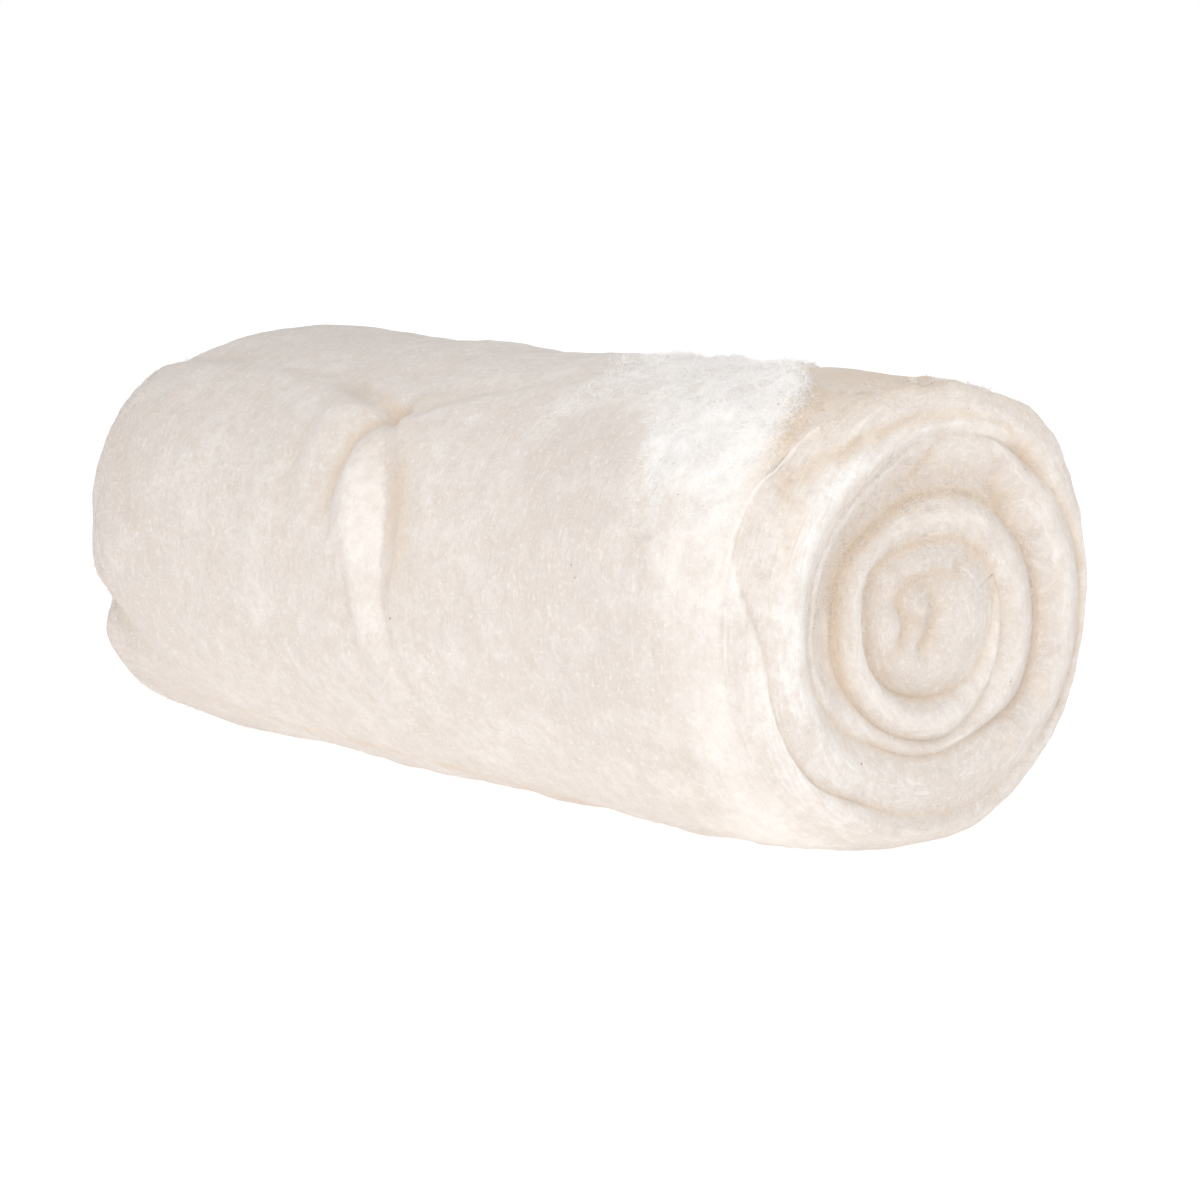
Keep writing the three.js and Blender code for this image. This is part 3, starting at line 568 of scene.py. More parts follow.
def outside_noise(x, angle):
    """Unevenness of the outside, with more of it in the torn patch and at the top of the rim."""
    radians = np.radians(angle)
    height = 0
    for seed, (along, round_size, most) in enumerate(OUTSIDE_NOISE, SEEDS["outside"]):
        across = HALF_WIDTH / round_size
        height = height + most * lattice_noise(
            x / along, across * np.cos(radians), across * np.sin(radians), seed)
    by_rim = window("uneven rim", x, angle_near(angle - UNEVEN_ANGLE, 0))
    for share, rows, name in ((torn_share(x, angle), TORN_NOISE, "torn"),
                              (by_rim, RIM_NOISE, "rim")):
        for seed, (along, round_size, most) in enumerate(rows, SEEDS[name]):
            height = height + share * most * lattice_noise(
                x / along, angle * ARC / round_size, 0 * x, seed)
    return height


def torn_share(x, angle):
    """How far a place lies in the fluffy patch where the last turn is torn, from 0 to 1."""
    return plateau(x, TORN_ALONG) * plateau(inside_edge(x, angle)[1], TORN_ACROSS)


def outside_height(x, angle):
    """How far the outside stands off the plain section at a place."""
    height = wrap_height(x, angle)
    height += smooth_value(TOP_LINE, 1, x) * bell(angle_near(angle - TOP_ANGLE, 0), TOP_WIDTH)
    height += soft_patches(SWELLINGS, x, angle)
    near = angle_near(angle, FOLDS_MIDDLE)
    for width, _, route in FOLDS.values():
        height -= fold_depth(width, route, x, near, ARC)
    return height - valley_depth(x, near) + outside_noise(x, angle)


def window(name, *measures):
    """Strength of a soft window at places, from its measures there."""
    share, *edges = WINDOWS[name]
    for value, edge in zip(measures, edges, strict=True):
        if edge[0] == "at":
            share = share * bell(value - edge[1], edge[2])
        else:
            share = share * smooth_step(value, *edge)
    return share


def soft_patches(rows, x, angle):
    """Sum of soft patches at places, from a table in the form of the swellings."""
    return sum(most * bell(x - middle, along) * bell(angle_near(angle - facing, 0), around)
               for middle, facing, along, around, most in rows)


def valley_depth(x, angle):
    """Depth of the valley at the pinch."""
    off = x - smooth_value(VALLEY, 1, angle)
    far, near = (np.clip(side * off / smooth_value(VALLEY, column, angle), 0, 1)
                 for side, column in ((-1, 3), (1, 4)))
    return (smooth_value(VALLEY, 2, angle) * (1 - far) ** FAR_FLANK_SHAPE
            * (1 - near ** NEAR_FLANK_SHAPE))


def shoulder_share(from_rim, length, rim_share):
    """How much of the radius is left on a shoulder, from 1 where it starts to the rim's share."""
    along = SHOULDER_CURVE * np.clip(1 - from_rim / length, 0, 1)
    return 1 - (1 - rim_share) * (1 - np.sqrt(1 - along ** 2)) / SHOULDER_DROP


def outside_points(station, angle):
    """Points of the outside. The station is their x where the rims lie at their nominal places."""
    near = station > 0
    rim_place = HALF_LENGTH - np.where(
        near, round_value(NEAR_RIM, 1, angle), round_value(FAR_RIM, 1, angle))
    rim_share = np.where(near, round_value(NEAR_RIM, 2, angle), round_value(FAR_RIM, 2, angle))
    x = station * rim_place / RIM_STATION
    y, z = section_point(angle)
    share = 1 + outside_height(x, angle) / np.hypot(y, z)
    share *= shoulder_share(
        rim_place - np.abs(x), np.where(near, NEAR_SHOULDER, FAR_SHOULDER), rim_share)
    return np.stack([x, y * share, np.maximum(AXIS_HEIGHT + z * share, 0)], -1)


def column_angles(station):
    """Angles of the columns of points, which lean with the free edge of the last turn."""
    from_edge = np.arange(COLUMNS) * COLUMN_STEP
    edge = smooth_value(TAIL_EDGE, 1, np.minimum(station, EDGE_LEAN_END))
    past = smooth_step(station, EDGE_LEAN_END, RIM_STATION)
    lean = (edge - TAIL_ANGLE) * (1 - past) * bell(angle_near(from_edge, 0), EDGE_LEAN_REACH)
    return TAIL_ANGLE + from_edge + lean


def outside_stations():
    """Stations of the outside from rim to rim, close together at the pinch and the shoulders."""
    stations = [RIM_STATION]
    while stations[-1] > -RIM_STATION:
        open_share = 1 - bell(stations[-1] - PINCH_PLACE, PINCH_REACH)
        to_rim = (RIM_STATION - abs(stations[-1])) / NEAR_SHOULDER
        share = min(open_share, RIM_OPENNESS + (1 - RIM_OPENNESS) * to_rim, 1)
        stations.append(stations[-1] - CLOSE_STEP - (OPEN_STEP - CLOSE_STEP) * share)
    return np.array([*stations[:-1], -RIM_STATION])


def end_points(winding, share, recess, side):
    """Points of an end at a share of the section's radius."""
    y, z = section_point(winding)
    return np.stack([
        side * (HALF_LENGTH - recess) + 0 * winding,
        y * share + WINDING_OFFSET[0],
        z * share + WINDING_OFFSET[1] + AXIS_HEIGHT,
    ], -1)


def end_noise(points, side):
    """Unevenness of an end, drawn out along the turns."""
    y, z = points[:, 1] - WINDING_OFFSET[0], points[:, 2] - WINDING_OFFSET[1] - AXIS_HEIGHT
    radius = np.hypot(y, z) + 1e-6
    height = 0
    for seed, (across, along, most) in enumerate(END_NOISE, SEEDS["end"] + 10 * side):
        height = height + most * lattice_noise(radius / across, y / along, z / along, seed)
    return height


class Surface:
    """Builds up one closed surface from arrays of points and faces."""

    def __init__(self):
        self.points = []
        self.faces = []
        self.zones = []
        self.crease_shades = []
        self.crest_highlights = []
        self.count = 0

    def add(self, points, zone, crease, crest=0.0):
        """Adds points with their zone's name and their shares of painted crease shade and of painted
        crest highlight, and numbers them."""
        shape = points.shape[:-1]
        flat = points.reshape(-1, 3)
        first = self.count
        self.count += len(flat)
        self.points.append(flat)
        self.zones.append(np.full(len(flat), zone))
        self.crease_shades.append(np.broadcast_to(crease, shape).reshape(-1))
        self.crest_highlights.append(np.broadcast_to(crest, shape).reshape(-1))
        return np.arange(first, self.count).reshape(shape)

    def grid(self, rows, flip):
        """Faces between rows of point numbers, less those that have no area."""
        a, b, c, d = rows[:-1, :-1], rows[:-1, 1:], rows[1:, 1:], rows[1:, :-1]
        faces = np.concatenate([np.stack([a, b, c], -1), np.stack([a, c, d], -1)], 1)
        faces = faces.reshape(-1, 3)
        whole = (faces[:, 0] != faces[:, 1]) & (faces[:, 1] != faces[:, 2])
        whole &= faces[:, 2] != faces[:, 0]
        self.faces.append(faces[whole][:, ::-1] if flip else faces[whole])


def add_outside(surface):
    """The outside, from the near rim to the far rim. Gives back both rims' points."""
    stations = outside_stations()
    angles = np.array([column_angles(station) for station in stations])
    places = np.broadcast_to(stations[:, None], angles.shape)
    points = outside_points(places, angles)
    rows = surface.add(points, "outside", outside_crease_shade(points[..., 0], angles))
    surface.grid(np.concatenate([rows, rows[:, :1]], 1), False)
    return rows[0], rows[-1]


def outside_crease_shade(x, angle):
    """How much painted warm shade a place of the outside has, from 0 to 1."""
    near = angle_near(angle, FOLDS_MIDDLE)
    depth = 0
    for width, tint, route in FOLDS.values():
        fold = fold_depth(width * SHADE_WIDTH, route, x, near, ARC)
        depth = depth + tint * np.maximum(fold, 0)
    distance = inside_edge(x, angle)[1]
    slope = smooth_value(TAIL_EDGE, 3, x)
    under = window("under edge", distance + slope / 2 + UNDER_EDGE, slope)
    depth = depth + under * smooth_value(TAIL_EDGE, 2, x)
    # Painted shade on the turn that the torn one bares
    bare = window("bared turn", x, -distance, near)
    # Painted shadow along the foot, in patches
    length, turn, strength = FOOT_SHADOW_PATCHES
    patches = 1 - strength + strength * lattice_noise(x / length, angle / turn, 0 * x, SEEDS["foot"])
    foot = fold_depth(*FOOT_SHADOW, x, near, ARC) * patches
    valley = x - smooth_value(VALLEY, 1, near)
    # Painted shade in the folds, under the free edge, along the foot and on the valley's near wall
    tint = depth / FULL_SHADE_DEPTH + foot + window("valley wall", valley, valley, near)
    return np.clip(tint, 0, 1) * (1 - bare) + bare


def add_end(surface, rim, turns, side, layer_steps):
    """One end: a long strip that follows the winding from the core to the free edge of the last
    turn. Its outer side is the strip's own next turn, or the rim."""
    steps = round((TAIL_ANGLE - SEAM[0][0]) / COLUMN_STEP)
    windings = TAIL_ANGLE - (steps - np.arange(steps + 1)) * COLUMN_STEP
    line = smooth_value(turns, 4, windings)
    recess = smooth_value(turns, 1, windings) + SEAM_DEPTH * line
    seam_points = end_points(windings, smooth_value(SEAM, 1, windings), recess, side)
    merge = smooth_step(windings, MERGE_START, MERGE_END)
    known = np.concatenate(surface.points)
    seam_points += (beside_rim(known[rim], steps, side) - seam_points) * merge[:, None]
    seam = np.concatenate([surface.add(seam_points[:-1], ZONES[side], line[:-1]), rim, rim[:1]])
    known = np.concatenate(surface.points)
    inner, outer = seam[:steps + 1], seam[COLUMNS:steps + 1 + COLUMNS]
    inside, outside = known[inner], known[outer]
    width = np.linalg.norm(outside - inside, axis=1)
    to_rim = windings + 360 >= TAIL_ANGLE
    outer_line = np.where(to_rim, 0, smooth_value(turns, 4, windings + 360))
    inner_shape, outer_shape = (
        SOFT_SHAPE + (SHARP_SHAPE - SOFT_SHAPE) * np.clip(sharp * SHAPE_GAIN, 0, 1)
        for sharp in (line, outer_line + to_rim))
    crest = side * (HALF_LENGTH - smooth_value(turns, 2, windings))
    crest += (outside[:, 0] + side * MERGED_RISE - crest) * merge
    place = smooth_value(turns, 3, windings)
    hollow = smooth_step(place, *HOLLOW_PLACES)
    inner_shape += HOLLOW_SHAPE * hollow
    strip = [inner]
    for i in range(1, layer_steps):
        t = i / layer_steps
        t -= SEAM_CROWDING * np.sin(2 * np.pi * t) / (2 * np.pi)
        points = inside + (outside - inside) * t
        near_inner = t < place
        way_up = np.where(near_inner, t / place, (1 - t) / (1 - place))
        foot = np.where(near_inner, inside[:, 0], outside[:, 0])
        shape = np.where(near_inner, inner_shape, outer_shape)
        points[:, 0] = foot + (crest - foot) * np.sin(np.pi / 2 * way_up) ** shape
        swell = np.sin(np.pi * t) ** SWELL_SHAPE * smooth_step(width, 0, WIDE_TURN)
        points[:, 0] += side * end_noise(points, side) * swell
        # Painted shade along the seams on either side of the turn
        crease = line * bell(t * width, SEAM_WIDTH) + outer_line * bell(
            (1 - t) * width, SEAM_WIDTH)
        # Painted highlight along the crest, where the turn is not hollow
        crest_highlight = bell((t - place) * width, CREST_HIGHLIGHT_WIDTH) * (1 - hollow)
        row = surface.add(points[:-1], ZONES[side], crease[:-1], crest_highlight[:-1])
        strip.append(np.append(row, inner[-1]))
    strip = np.stack([*strip, outer], 1)
    surface.grid(strip, side > 0)
    add_core(surface, np.concatenate([inner[:COLUMNS], strip[0, :0:-1]]), turns, side)


def beside_rim(rim_points, steps, side):
    """Points just inside the rim, one for each step along the seam."""
    around = rim_points[-(steps - np.arange(steps + 1)) % COLUMNS]
    inward = unit([0, 0, AXIS_HEIGHT] - around * [0, 1, 1])
    return around + inward * MERGED_GAP + [side * MERGED_RISE, 0, 0]


def add_core(surface, border, turns, side):
    """The start of the batt in the middle of an end, as rings inside the first turn."""
    edge = np.concatenate(surface.points)[border]
    middle = end_points(np.zeros(1), 0, turns[0][1] - CORE_DOME, side)
    rings = [border]
    reach = np.linalg.norm(edge - middle, axis=1)
    around = SEAM[0][0] + np.minimum(np.arange(len(border)), COLUMNS) * COLUMN_STEP
    for ring in range(1, CORE_RINGS):
        share = 1 - ring / CORE_RINGS
        points = middle + (edge - middle) * share
        even = end_points(around, CORE_SHARE * share, turns[0][1], side)
        points += (even - points) * smooth_step(1 - share, 0, CORE_EVEN_REACH) * CORE_EVENNESS
        rise = bell((1 - share) * reach, CORE_RISE_WIDTH)
        dome = middle[0, 0] - side * CORE_DOME * share ** 2
        points[:, 0] = dome + (edge[:, 0] - dome) * rise
        points[:, 0] += side * end_noise(points, side) * (1 - share ** CORE_NOISE_SHAPE)
        # Painted shade along the seam round the core
        line = bell((1 - share) * reach, SEAM_WIDTH) * CORE_LINE
        rings.append(surface.add(points, ZONES[side], line))
    last = surface.add(middle, ZONES[side], 0)
    rings.append(np.full(len(border), last[0]))
    rows = np.array(rings)
    surface.grid(np.concatenate([rows, rows[:, :1]], 1), side > 0)


def press_end_folds(surface):
    """Presses the folds of the near end's face into its points, and marks them, the deep parts of
    the face and the inside of its rim at the top with painted warm shade.
    """
    for number, (points, zone) in enumerate(zip(surface.points, surface.zones)):
        if zone[0] != "near":
            continue
        y, z = points[:, 1], points[:, 2] - AXIS_HEIGHT
        marked = surface.crease_shades[number]
        for width, tint, route in END_FOLDS.values():
            points[:, 0] -= fold_depth(width, route, y, z)
            # Painted warm shade in the folds of the face
            mark = fold_depth(width * SHADE_WIDTH, route, y, z)
            marked = marked + np.maximum(mark, 0) / END_SHADE_DEPTH * tint
        radius = section_share(y, z)
        marked = marked + window("deep in the end", HALF_LENGTH - points[:, 0], radius)
        marked = marked + window("top of the end", section_angle(y, z), radius)
        surface.crease_shades[number] = np.clip(marked, 0, 1)


def mesh_object(name, points, faces, material, smooth):
    """A mesh of triangles, which rides with the roll."""
    mesh = bpy.data.meshes.new(name)
    mesh.vertices.add(len(points))
    mesh.vertices.foreach_set("co", (points * MM).ravel())
    mesh.loops.add(faces.size)
    mesh.loops.foreach_set("vertex_index", faces.ravel().astype(np.int32))
    mesh.polygons.add(len(faces))
    mesh.polygons.foreach_set("loop_start", np.arange(0, faces.size, 3, dtype=np.int32))
    mesh.update(calc_edges=True)
    (mesh.shade_smooth if smooth else mesh.shade_flat)()
    mesh.materials.append(material)
    made = bpy.data.objects.new(name, mesh)
    bpy.context.scene.collection.objects.link(made)
    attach(made, "root")
    return made


def build_roll(material):
    """The wound roll, with what its material reads at each point. Gives back its mesh."""
    surface = Surface()
    near_rim, far_rim = add_outside(surface)
    add_end(surface, near_rim, NEAR_TURNS, 1, NEAR_LAYER_STEPS)
    press_end_folds(surface)
    add_end(surface, far_rim, FAR_TURNS, -1, FAR_LAYER_STEPS)
    points, faces = np.concatenate(surface.points), np.concatenate(surface.faces)
    roll = mesh_object("cotton_roll_wound", points, faces, material, True)
    outside = np.concatenate(surface.zones) == "outside"
    pale, white = paleness_and_painted_light(points, outside, np.concatenate(surface.crest_highlights))
    # The crease attribute holds painted warm shade; pale and white hold painted highlight and shade,
    # with some of the torn cotton's own white
    values = {"crease": np.concatenate(surface.crease_shades), "end": 1 - outside, "pale": pale,
              "white": white}
    for name, value in values.items():
        layer = roll.data.attributes.new(name, "FLOAT", "POINT")
        layer.data.foreach_set("value", np.ascontiguousarray(value, np.float32))
    add_way_round(roll.data, points, faces)
    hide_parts("cotton_roll")
    return points, faces


def paleness_and_painted_light(points, outside, crest):
    """How pale and how white the cotton is at its points, from 0 to 1. Painted highlight makes the
    crests of the turns, the flank at the pinch, and the outer turns and near shoulder where they
    face the front paler, the shoulder also by its whiter cotton; painted shade makes the far
    shoulder and the top greyer. The torn patch is whiter, partly by its own cotton and partly by
    painted highlight."""
    x, y, z = points[:, 0], points[:, 1], points[:, 2] - AXIS_HEIGHT
    angle, radius = section_angle(y, z), section_share(y, z)
    # Painted highlight and shade follow how the surface faces the front
    in_front = window("facing front", np.abs(angle - FRONT_ANGLE))
    # Painted shade on the far shoulder and the top
    front = FRONT_PALE * (1 - window("far shoulder", x)) * (1 - window("top", angle))
    front = front + soft_patches(PALE_PATCHES, x, angle)
    size, stray = SHOULDER_RAGS
    ragged = stray * lattice_noise(x / size, angle * ARC / size, 0 * x, SEEDS["shoulder"])
    past = x - smooth_value(SHOULDER_START, 1, angle) + ragged
    # Painted highlight on the front-facing shoulder, less of it at the rim
    shoulder = window("shoulder", past) * in_front * (1 - window("rim", x))
    valley = x - smooth_value(VALLEY, 1, angle_near(angle, FOLDS_MIDDLE))
    # Painted highlight on the pinch's flank
    flank = window("valley flank", valley, angle) * (valley < 0)
    # Less painted highlight on the low crests
    crest = crest * (1 - window("low crests", angle, radius))
    face = np.maximum(window("outer turns", radius) * in_front, FRONT_PALE)
    pale = np.where(outside, np.clip(front + shoulder + flank, 0, 1),
                    np.maximum(face, CREST_HIGHLIGHT * crest))
    # White: the torn patch, partly its own cotton and partly painted highlight, and painted
    # highlight on crests that face the front
    white = np.where(outside, torn_share(x, angle) * window("white patch", angle),
                     crest * in_front * window("white crests", radius))
    return pale, white


def add_way_round(mesh, points, faces):
    """A UV map in metres: along the roll or out from its axis, and the way round it."""
    corners = points[faces]
    radial = corners[..., 1:] - [WINDING_OFFSET[0], AXIS_HEIGHT + WINDING_OFFSET[1]]
    angle = np.unwrap(np.arctan2(radial[..., 1], -radial[..., 0]), axis=1)
    radius = np.hypot(radial[..., 0], radial[..., 1])
    along = np.abs(corners[..., 0]) + HALF_WIDTH - radius
    uv = np.stack([along, angle * MAP_RADIUS], -1) * MM
    layer = mesh.uv_layers.new(name="way_round")
    layer.data.foreach_set("uv", uv.astype(np.float32).ravel())


def triangle_normals(points, faces):
    a, b, c = (points[faces[:, i]] for i in range(3))
    cross = np.cross(b - a, c - a)
    area = np.linalg.norm(cross, axis=1)
    return cross / (area[:, None] + 1e-12), area / 2


def unit(vectors):
    return vectors / (np.linalg.norm(vectors, axis=-1, keepdims=True) + 1e-12)


def fuzz_share(where, centre):
    """How thickly fuzz grows at places on the roll."""
    x, y, z = centre[:, 0], centre[:, 1], centre[:, 2] - AXIS_HEIGHT
    if where == "near":
        return (x > NEAR_FUZZ_START) * 1.0
    if where == "far":
        return (x < FAR_FUZZ_START) * 1.0
    if where == "rim":
        return window("fuzzy rim", x) * (z > 0)
    angle = section_angle(y, z)
    if where == "tuft":
        return soft_patches(TUFTS, x, angle)
    patch = torn_share(x, angle)
    patch = patch * window("fuzzy patch", patch)
    outside = np.abs(x) < OUTSIDE_FUZZ_END
    if where == "outside":
        return outside * (centre[:, 2] > OUTSIDE_FUZZ_FOOT) * (1 - PATCH_SPARING * patch)
    fringe = window("fuzzy fringe", inside_edge(x, angle)[1], x)
    return outside * (patch + fringe) * window("front of the patch", angle)


def section_share(y, z):
    """Distance of a point of a section from the roll's axis, as a share of the section's."""
    return np.hypot(y, z) / np.hypot(*section_point(section_angle(y, z)))


def section_angle(y, z):
    """Angle round the roll of a point of a section."""
    raised = [np.sign(v) * np.abs(v) ** (ROUNDNESS / 2) for v in (-y / HALF_WIDTH, z / HALF_HEIGHT)]
    return np.degrees(np.arctan2(raised[1], raised[0]))


def scatter(points, faces, where, count):
    """Random places on the roll, with their normals."""
    normal, area = triangle_normals(points, faces)
    centre = points[faces].mean(1)
    share = np.cumsum(area * fuzz_share(where, centre))
    chosen = np.searchsorted(share, random.uniform(0, share[-1], count))
    corner = np.sort(random.uniform(0, 1, (count, 2)), axis=1)
    weight = np.stack([corner[:, 0], corner[:, 1] - corner[:, 0], 1 - corner[:, 1]], -1)
    return (points[faces[chosen]] * weight[..., None]).sum(1), normal[chosen]


def build_fuzz(roll_points, roll_faces, row, materials):
    """Slivers of fibre that lie on the roll or stand off it, as one mesh of narrow strips."""
    name, where, fibres, locks, in_lock, length, width, spread, lift = row
    root, normal = (np.repeat(v, in_lock, 0) for v in scatter(
        roll_points, roll_faces, where, locks))
    count = len(root)
    radial = root * [0, 1, 1] - [0, 0, AXIS_HEIGHT]
    around = unit(np.cross([1.0, 0, 0], radial))
    around = unit(around - normal * (around * normal).sum(1)[:, None])
    across = np.cross(normal, around)
    turn = np.repeat(random.normal(0, FIBRE_SPREAD, locks), in_lock)
    turn += random.normal(0, LOCK_SPREAD, count)
    sign = np.repeat(np.where(random.uniform(0, 1, locks) < 0.5, -1, 1), in_lock)
    raised = np.abs(random.normal(0, lift, count))
    root = root + spread * (around * random.normal(0, 1, (count, 1))
                            + across * random.normal(0, 1, (count, 1)))
    flat = (around * np.cos(turn)[:, None] + across * np.sin(turn)[:, None]) * sign[:, None]
    direction = flat * np.cos(raised)[:, None] + normal * np.sin(raised)[:, None]
    curl = random.normal(0, FIBRE_CURL, (count, 3)) - normal * FIBRE_DROOP * lift
    step = length * random.uniform(*FIBRE_LENGTHS, (count, 1)) / FIBRE_PARTS
    tilt = random.normal(0, FIBRE_TILT, (count, 1))
    rows, at = [], root
    for part in range(FIBRE_PARTS):
        side = unit(np.cross(normal, direction))
        side = side * np.cos(tilt) + np.cross(direction, side) * np.sin(tilt)
        half = width / 2 * (1 - FIBRE_TAPER * part)
        rows += [at - side * half, at + side * half]
        at = at + direction * step
        direction = unit(direction + curl * CURL_STEP)
    points = np.stack([*rows, at], 1)
    points[..., 2] = np.maximum(points[..., 2], 0)
    faces = []
    for part in range(FIBRE_PARTS - 1):
        a = 2 * part
        faces += [[a, a + 2, a + 1], [a + 1, a + 2, a + 3]]
    last = 2 * (FIBRE_PARTS - 1)
    faces.append([last, last + 2, last + 1])
    all_faces = np.array(faces)[None] + (np.arange(count) * points.shape[1])[:, None, None]
    mesh_object(name, points.reshape(-1, 3), all_faces.reshape(-1, 3), materials[fibres], False)


def build_specks(roll_points):
    """Flat flakes of leaf and seed that lie among the fibres."""
    x, angle, radius = np.array(SPECKS).T
    places = outside_points(x, angle)
    facing = unit(places * [0, 1, 1] - [0, 0, AXIS_HEIGHT])
    y, z, end_radius = np.array(END_SPECKS).T
    places = np.concatenate([places, np.stack([HALF_LENGTH + 0 * y, y, z + AXIS_HEIGHT], -1)])
    facing = np.concatenate([facing, np.tile([1.0, 0, 0], (len(y), 1))])
    corner = np.arange(SPECK_CORNERS)
    following = (corner + 1) % SPECK_CORNERS
    top, bottom = SPECK_CORNERS + 0 * corner, SPECK_CORNERS + 1 + 0 * corner
    flake = np.concatenate([np.stack([corner, following, top], -1),
                            np.stack([following, corner, bottom], -1)])
    points, faces = [], []
    for place, normal, size in zip(places, facing, np.concatenate([radius, end_radius])):
        centre = roll_points[np.argmin(np.linalg.norm(roll_points - place, axis=1))]
        across = unit(np.cross(normal, OFF_AXIS))
        turn = 2 * np.pi * corner[:, None] / SPECK_CORNERS
        reach = size * random.uniform(*SPECK_RAGS, (SPECK_CORNERS, 1))
        ring = centre + reach * (np.cos(turn) * across + np.sin(turn) * np.cross(normal, across))
        faces.append(flake + len(points) * (SPECK_CORNERS + 2))
        points.append(np.concatenate([ring + normal * SPECK_THICKNESS, [
            centre + normal * SPECK_THICKNESS * 2, centre - normal * SPECK_THICKNESS]]))
    specks = plain_material("plant_specks", SPECK_FINISH)
    mesh_object("cotton_specks", np.concatenate(points), np.concatenate(faces), specks, False)


def plain_material(name, inputs):
    """A material whose shader has constant values."""
    made = bpy.data.materials.new(name)
    n = Nodes(made)
    n.feed(n.shader, inputs)
    return made


class Nodes:
    """Short calls to build the nodes of a material, or of the world."""

    def __init__(self, owner, shader="Principled BSDF"):
        owner.use_nodes = True
        self.tree = owner.node_tree
        self.shader = self.tree.nodes[shader]

    def feed(self, node, inputs):
        """Links a node's inputs to sockets, or sets them to constant values."""
        for name, value in inputs.items():
            if isinstance(value, bpy.types.NodeSocket):
                self.tree.links.new(value, node.inputs[name])
            else:
                node.inputs[name].default_value = value

    def add(self, kind, inputs=None, output=0, **settings):
        node = self.tree.nodes.new("ShaderNode" + kind)
        for name, value in settings.items():
            setattr(node, name, value)
        self.feed(node, inputs or {})
        return node.outputs[output]

    def math(self, operation, first, second):
        return self.add("Math", {0: first, 1: second}, operation=operation)

    def noise(self, place, scale, detail, roughness=0.5, distortion=0.0):
        return self.add("TexNoise", {
            "Vector": place, "Scale": scale, "Detail": detail, "Roughness": roughness,
            "Distortion": distortion}, "Fac")

    def stretched(self, place, turn, stretch):
        """Coordinates turned about the axis of the roll's length and drawn out along one way."""
        return self.add("Mapping", {
            "Vector": place, "Rotation": (0, 0, turn), "Scale": (1, 1 / stretch, 1)}, "Vector")

    def mix(self, share, first, second):
        return self.add("Mix", {0: share, 6: first, 7: second}, 2, data_type="RGBA")

    def map_range(self, value, low, high, to_low, to_high):
        return self.add("MapRange", {
            "Value": value, "From Min": low, "From Max": high, "To Min": to_low,
            "To Max": to_high}, "Result")


def cotton_material():
    """Matted cotton: fine fibres in all directions, faint blotches, small pale pills, painted warm
    shade where the surface dips, and painted highlight and shade from the paleness."""
    made = bpy.data.materials.new("cotton_wool")
    n = Nodes(made)
    flat = n.add("UVMap", None, "UV", uv_map="way_round")
    place = n.add("TexCoord", None, "Object")
    crease, pale, white, end = (
        n.add("Attribute", None, "Fac", attribute_name=name)
        for name in ("crease", "pale", "white", "end"))
    mats = [n.noise(n.stretched(flat, turn, MAT_STRETCH), *MAT_NOISE) for turn in MAT_TURNS]
    noises = {name: n.noise(place, *row) for name, row in COTTON_NOISES.items()}
    noises["matted"] = n.math("MAXIMUM", n.math("MAXIMUM", mats[0], mats[1]), mats[2])
    noises["streaks"] = n.noise(n.stretched(flat, 0, STREAK_STRETCH), *STREAK_NOISE)
    shares = {
        "all": 1,
        "calm": n.map_range(n.math("MAXIMUM", pale, white), *CALM_RANGE),
        "tan ends": n.math("ADD", end, TAN_OUTSIDE),
        "pale ends": n.math("ADD", end, PALE_OUTSIDE),
    }
    # Paleness, with its painted highlight and shade, mixes the tones
    colour = n.mix(pale, *COTTON_TONES)
    colour = n.mix(white, colour, TORN_WHITE_AND_HIGHLIGHT)
    for name, low, high, strength, where, tint in COTTON_TINTS:
        share = n.map_range(noises[name], low, high, 0, strength)
        colour = n.mix(n.math("MULTIPLY", share, shares[where]), colour, tint)
    # Painted warm shade where the crease attribute marks creases, seams, recesses and the foot
    colour = n.mix(n.math("MULTIPLY", crease, CREASE_SHADE_SHARE), colour, CREASE_SHADE_COLOUR)
    height = 0
    for name, share in COTTON_BUMPS.items():
        height = n.math("ADD", height, n.math("MULTIPLY", noises[name], share))
    n.feed(n.shader, {"Base Color": colour, **COTTON_FINISH, "Normal": n.add("Bump", {
        "Height": height, "Strength": BUMP_STRENGTH, "Distance": MM}, "Normal")})
    return made


def fibre_material(name, tones):
    """Single slivers of cotton fibre."""
    made = bpy.data.materials.new(name)
    n = Nodes(made)
    tone = n.noise(n.add("TexCoord", None, "Object"), *FIBRE_NOISE)
    n.feed(n.shader, {"Base Color": n.mix(tone, *tones), **FIBRE_FINISH})
    return made


def stand(name, data, place, back):
    """Puts a camera or a light at a place, with its back towards a direction."""
    made = bpy.data.objects.new(name, data)
    made.location = place * MM
    made.rotation_euler = back.to_track_quat("Z", "Y").to_euler()
    bpy.context.scene.collection.objects.link(made)
    return made


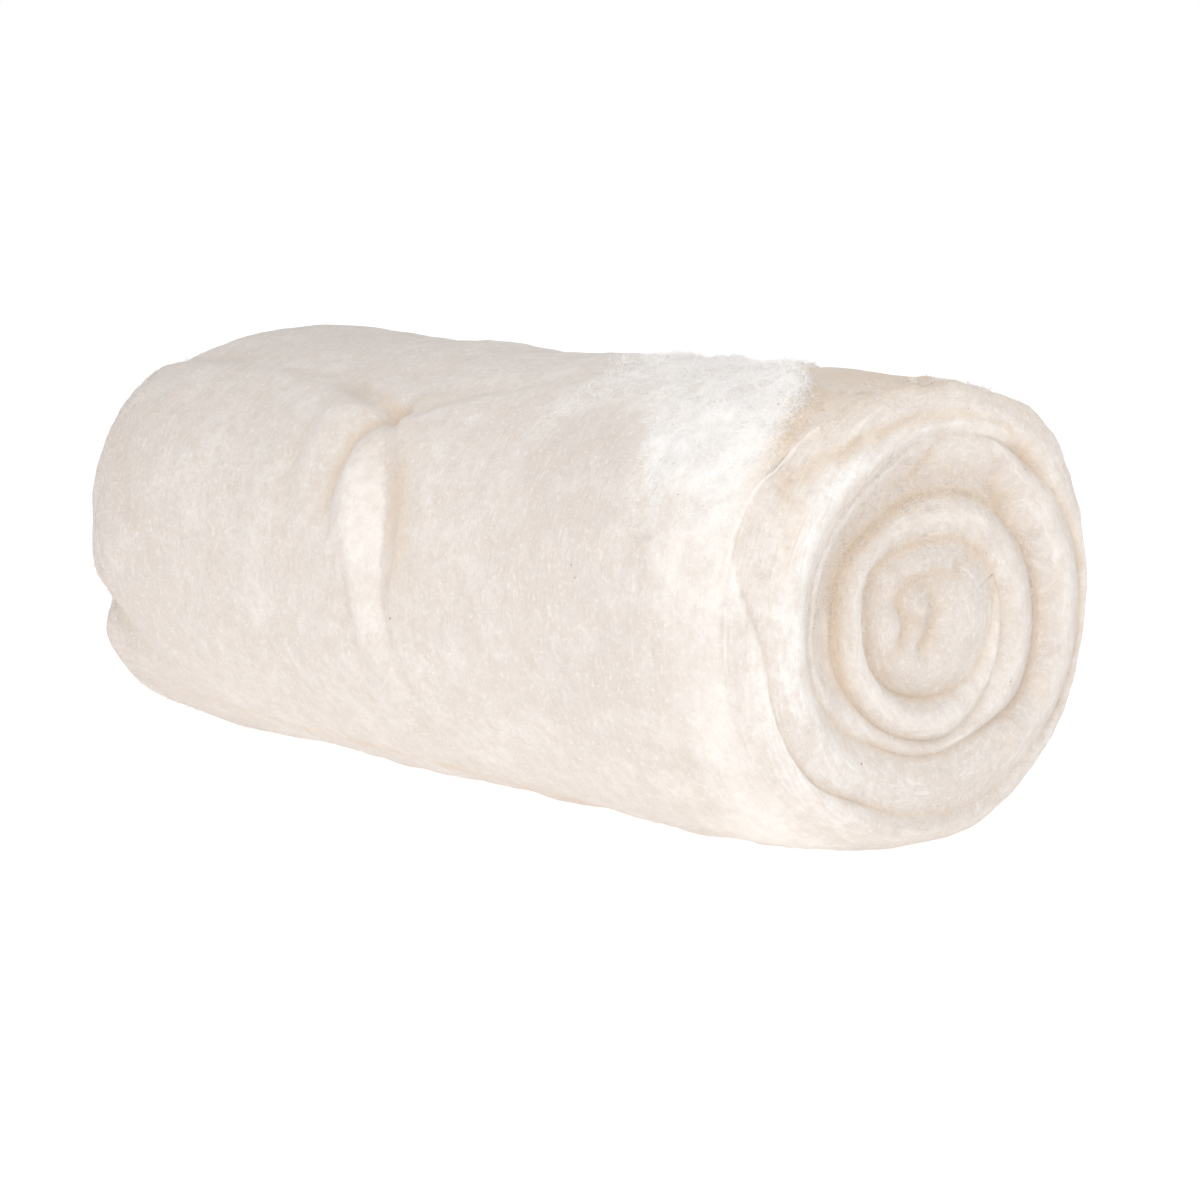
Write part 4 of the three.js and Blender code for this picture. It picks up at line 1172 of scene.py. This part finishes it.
def add_camera():
    """The camera at the photograph's viewing angle."""
    azimuth, elevation = np.radians([CAMERA_AZIMUTH, CAMERA_ELEVATION])
    back = Vector((np.sin(azimuth) * np.cos(elevation), -np.cos(azimuth) * np.cos(elevation),
                   np.sin(elevation)))
    data = bpy.data.cameras.new("camera")
    data.lens = CAMERA_LENS
    data.sensor_width = SENSOR_WIDTH
    place = Vector(CAMERA_TARGET) + back * CAMERA_DISTANCE
    bpy.context.scene.camera = stand("camera", data, place, back)


def add_light(name, place, target, size, power):
    """A soft square light that looks at a place on the roll."""
    data = bpy.data.lights.new(name, "AREA")
    data.size = size * MM
    data.energy = power
    place = Vector(place)
    stand(name, data, place, place - Vector(target)).visible_camera = False


def add_floor():
    """A pale floor that glows a little, as a lit studio table does."""
    mesh = bpy.data.meshes.new("floor")
    half = FLOOR_SIZE / 2
    mesh.from_pydata([(-half, -half, 0), (half, -half, 0), (half, half, 0), (-half, half, 0)],
                     [], [(0, 1, 2, 3)])
    mesh.materials.append(plain_material("floor", FLOOR_FINISH))
    floor = bpy.data.objects.new("floor", mesh)
    bpy.context.scene.collection.objects.link(floor)


def add_world():
    """Soft light from all round, brighter at the horizon than overhead, and a little dimmer
    behind the near end."""
    world = bpy.data.worlds.new("studio")
    n = Nodes(world, "Background")
    place = n.add("TexCoord", None, "Generated")
    height = n.add("SeparateXYZ", {"Vector": place}, "Z")
    behind = n.add("VectorMath", {0: place, 1: SKY_BEHIND}, "Value", operation="DOT_PRODUCT")
    light = n.math("MULTIPLY", n.map_range(height, SKY_FALL, 1, *SKY_LIGHT),
                   n.map_range(behind, SKY_DIM_START, 1, 1, SKY_DIM))
    n.feed(n.shader, {"Color": (1, 1, 1, 1), "Strength": light})
    bpy.context.scene.world = world


roll_points, roll_faces = build_roll(cotton_material())
fibre_materials = {name: fibre_material(name, tones) for name, tones in FIBRES.items()}
for fuzz_row in FUZZ:
    build_fuzz(roll_points, roll_faces, fuzz_row, fibre_materials)
build_specks(roll_points)
add_floor()
add_world()
for light_row in LIGHTS:
    add_light(*light_row)
add_camera()
bpy.context.scene.view_settings.view_transform = "Standard"
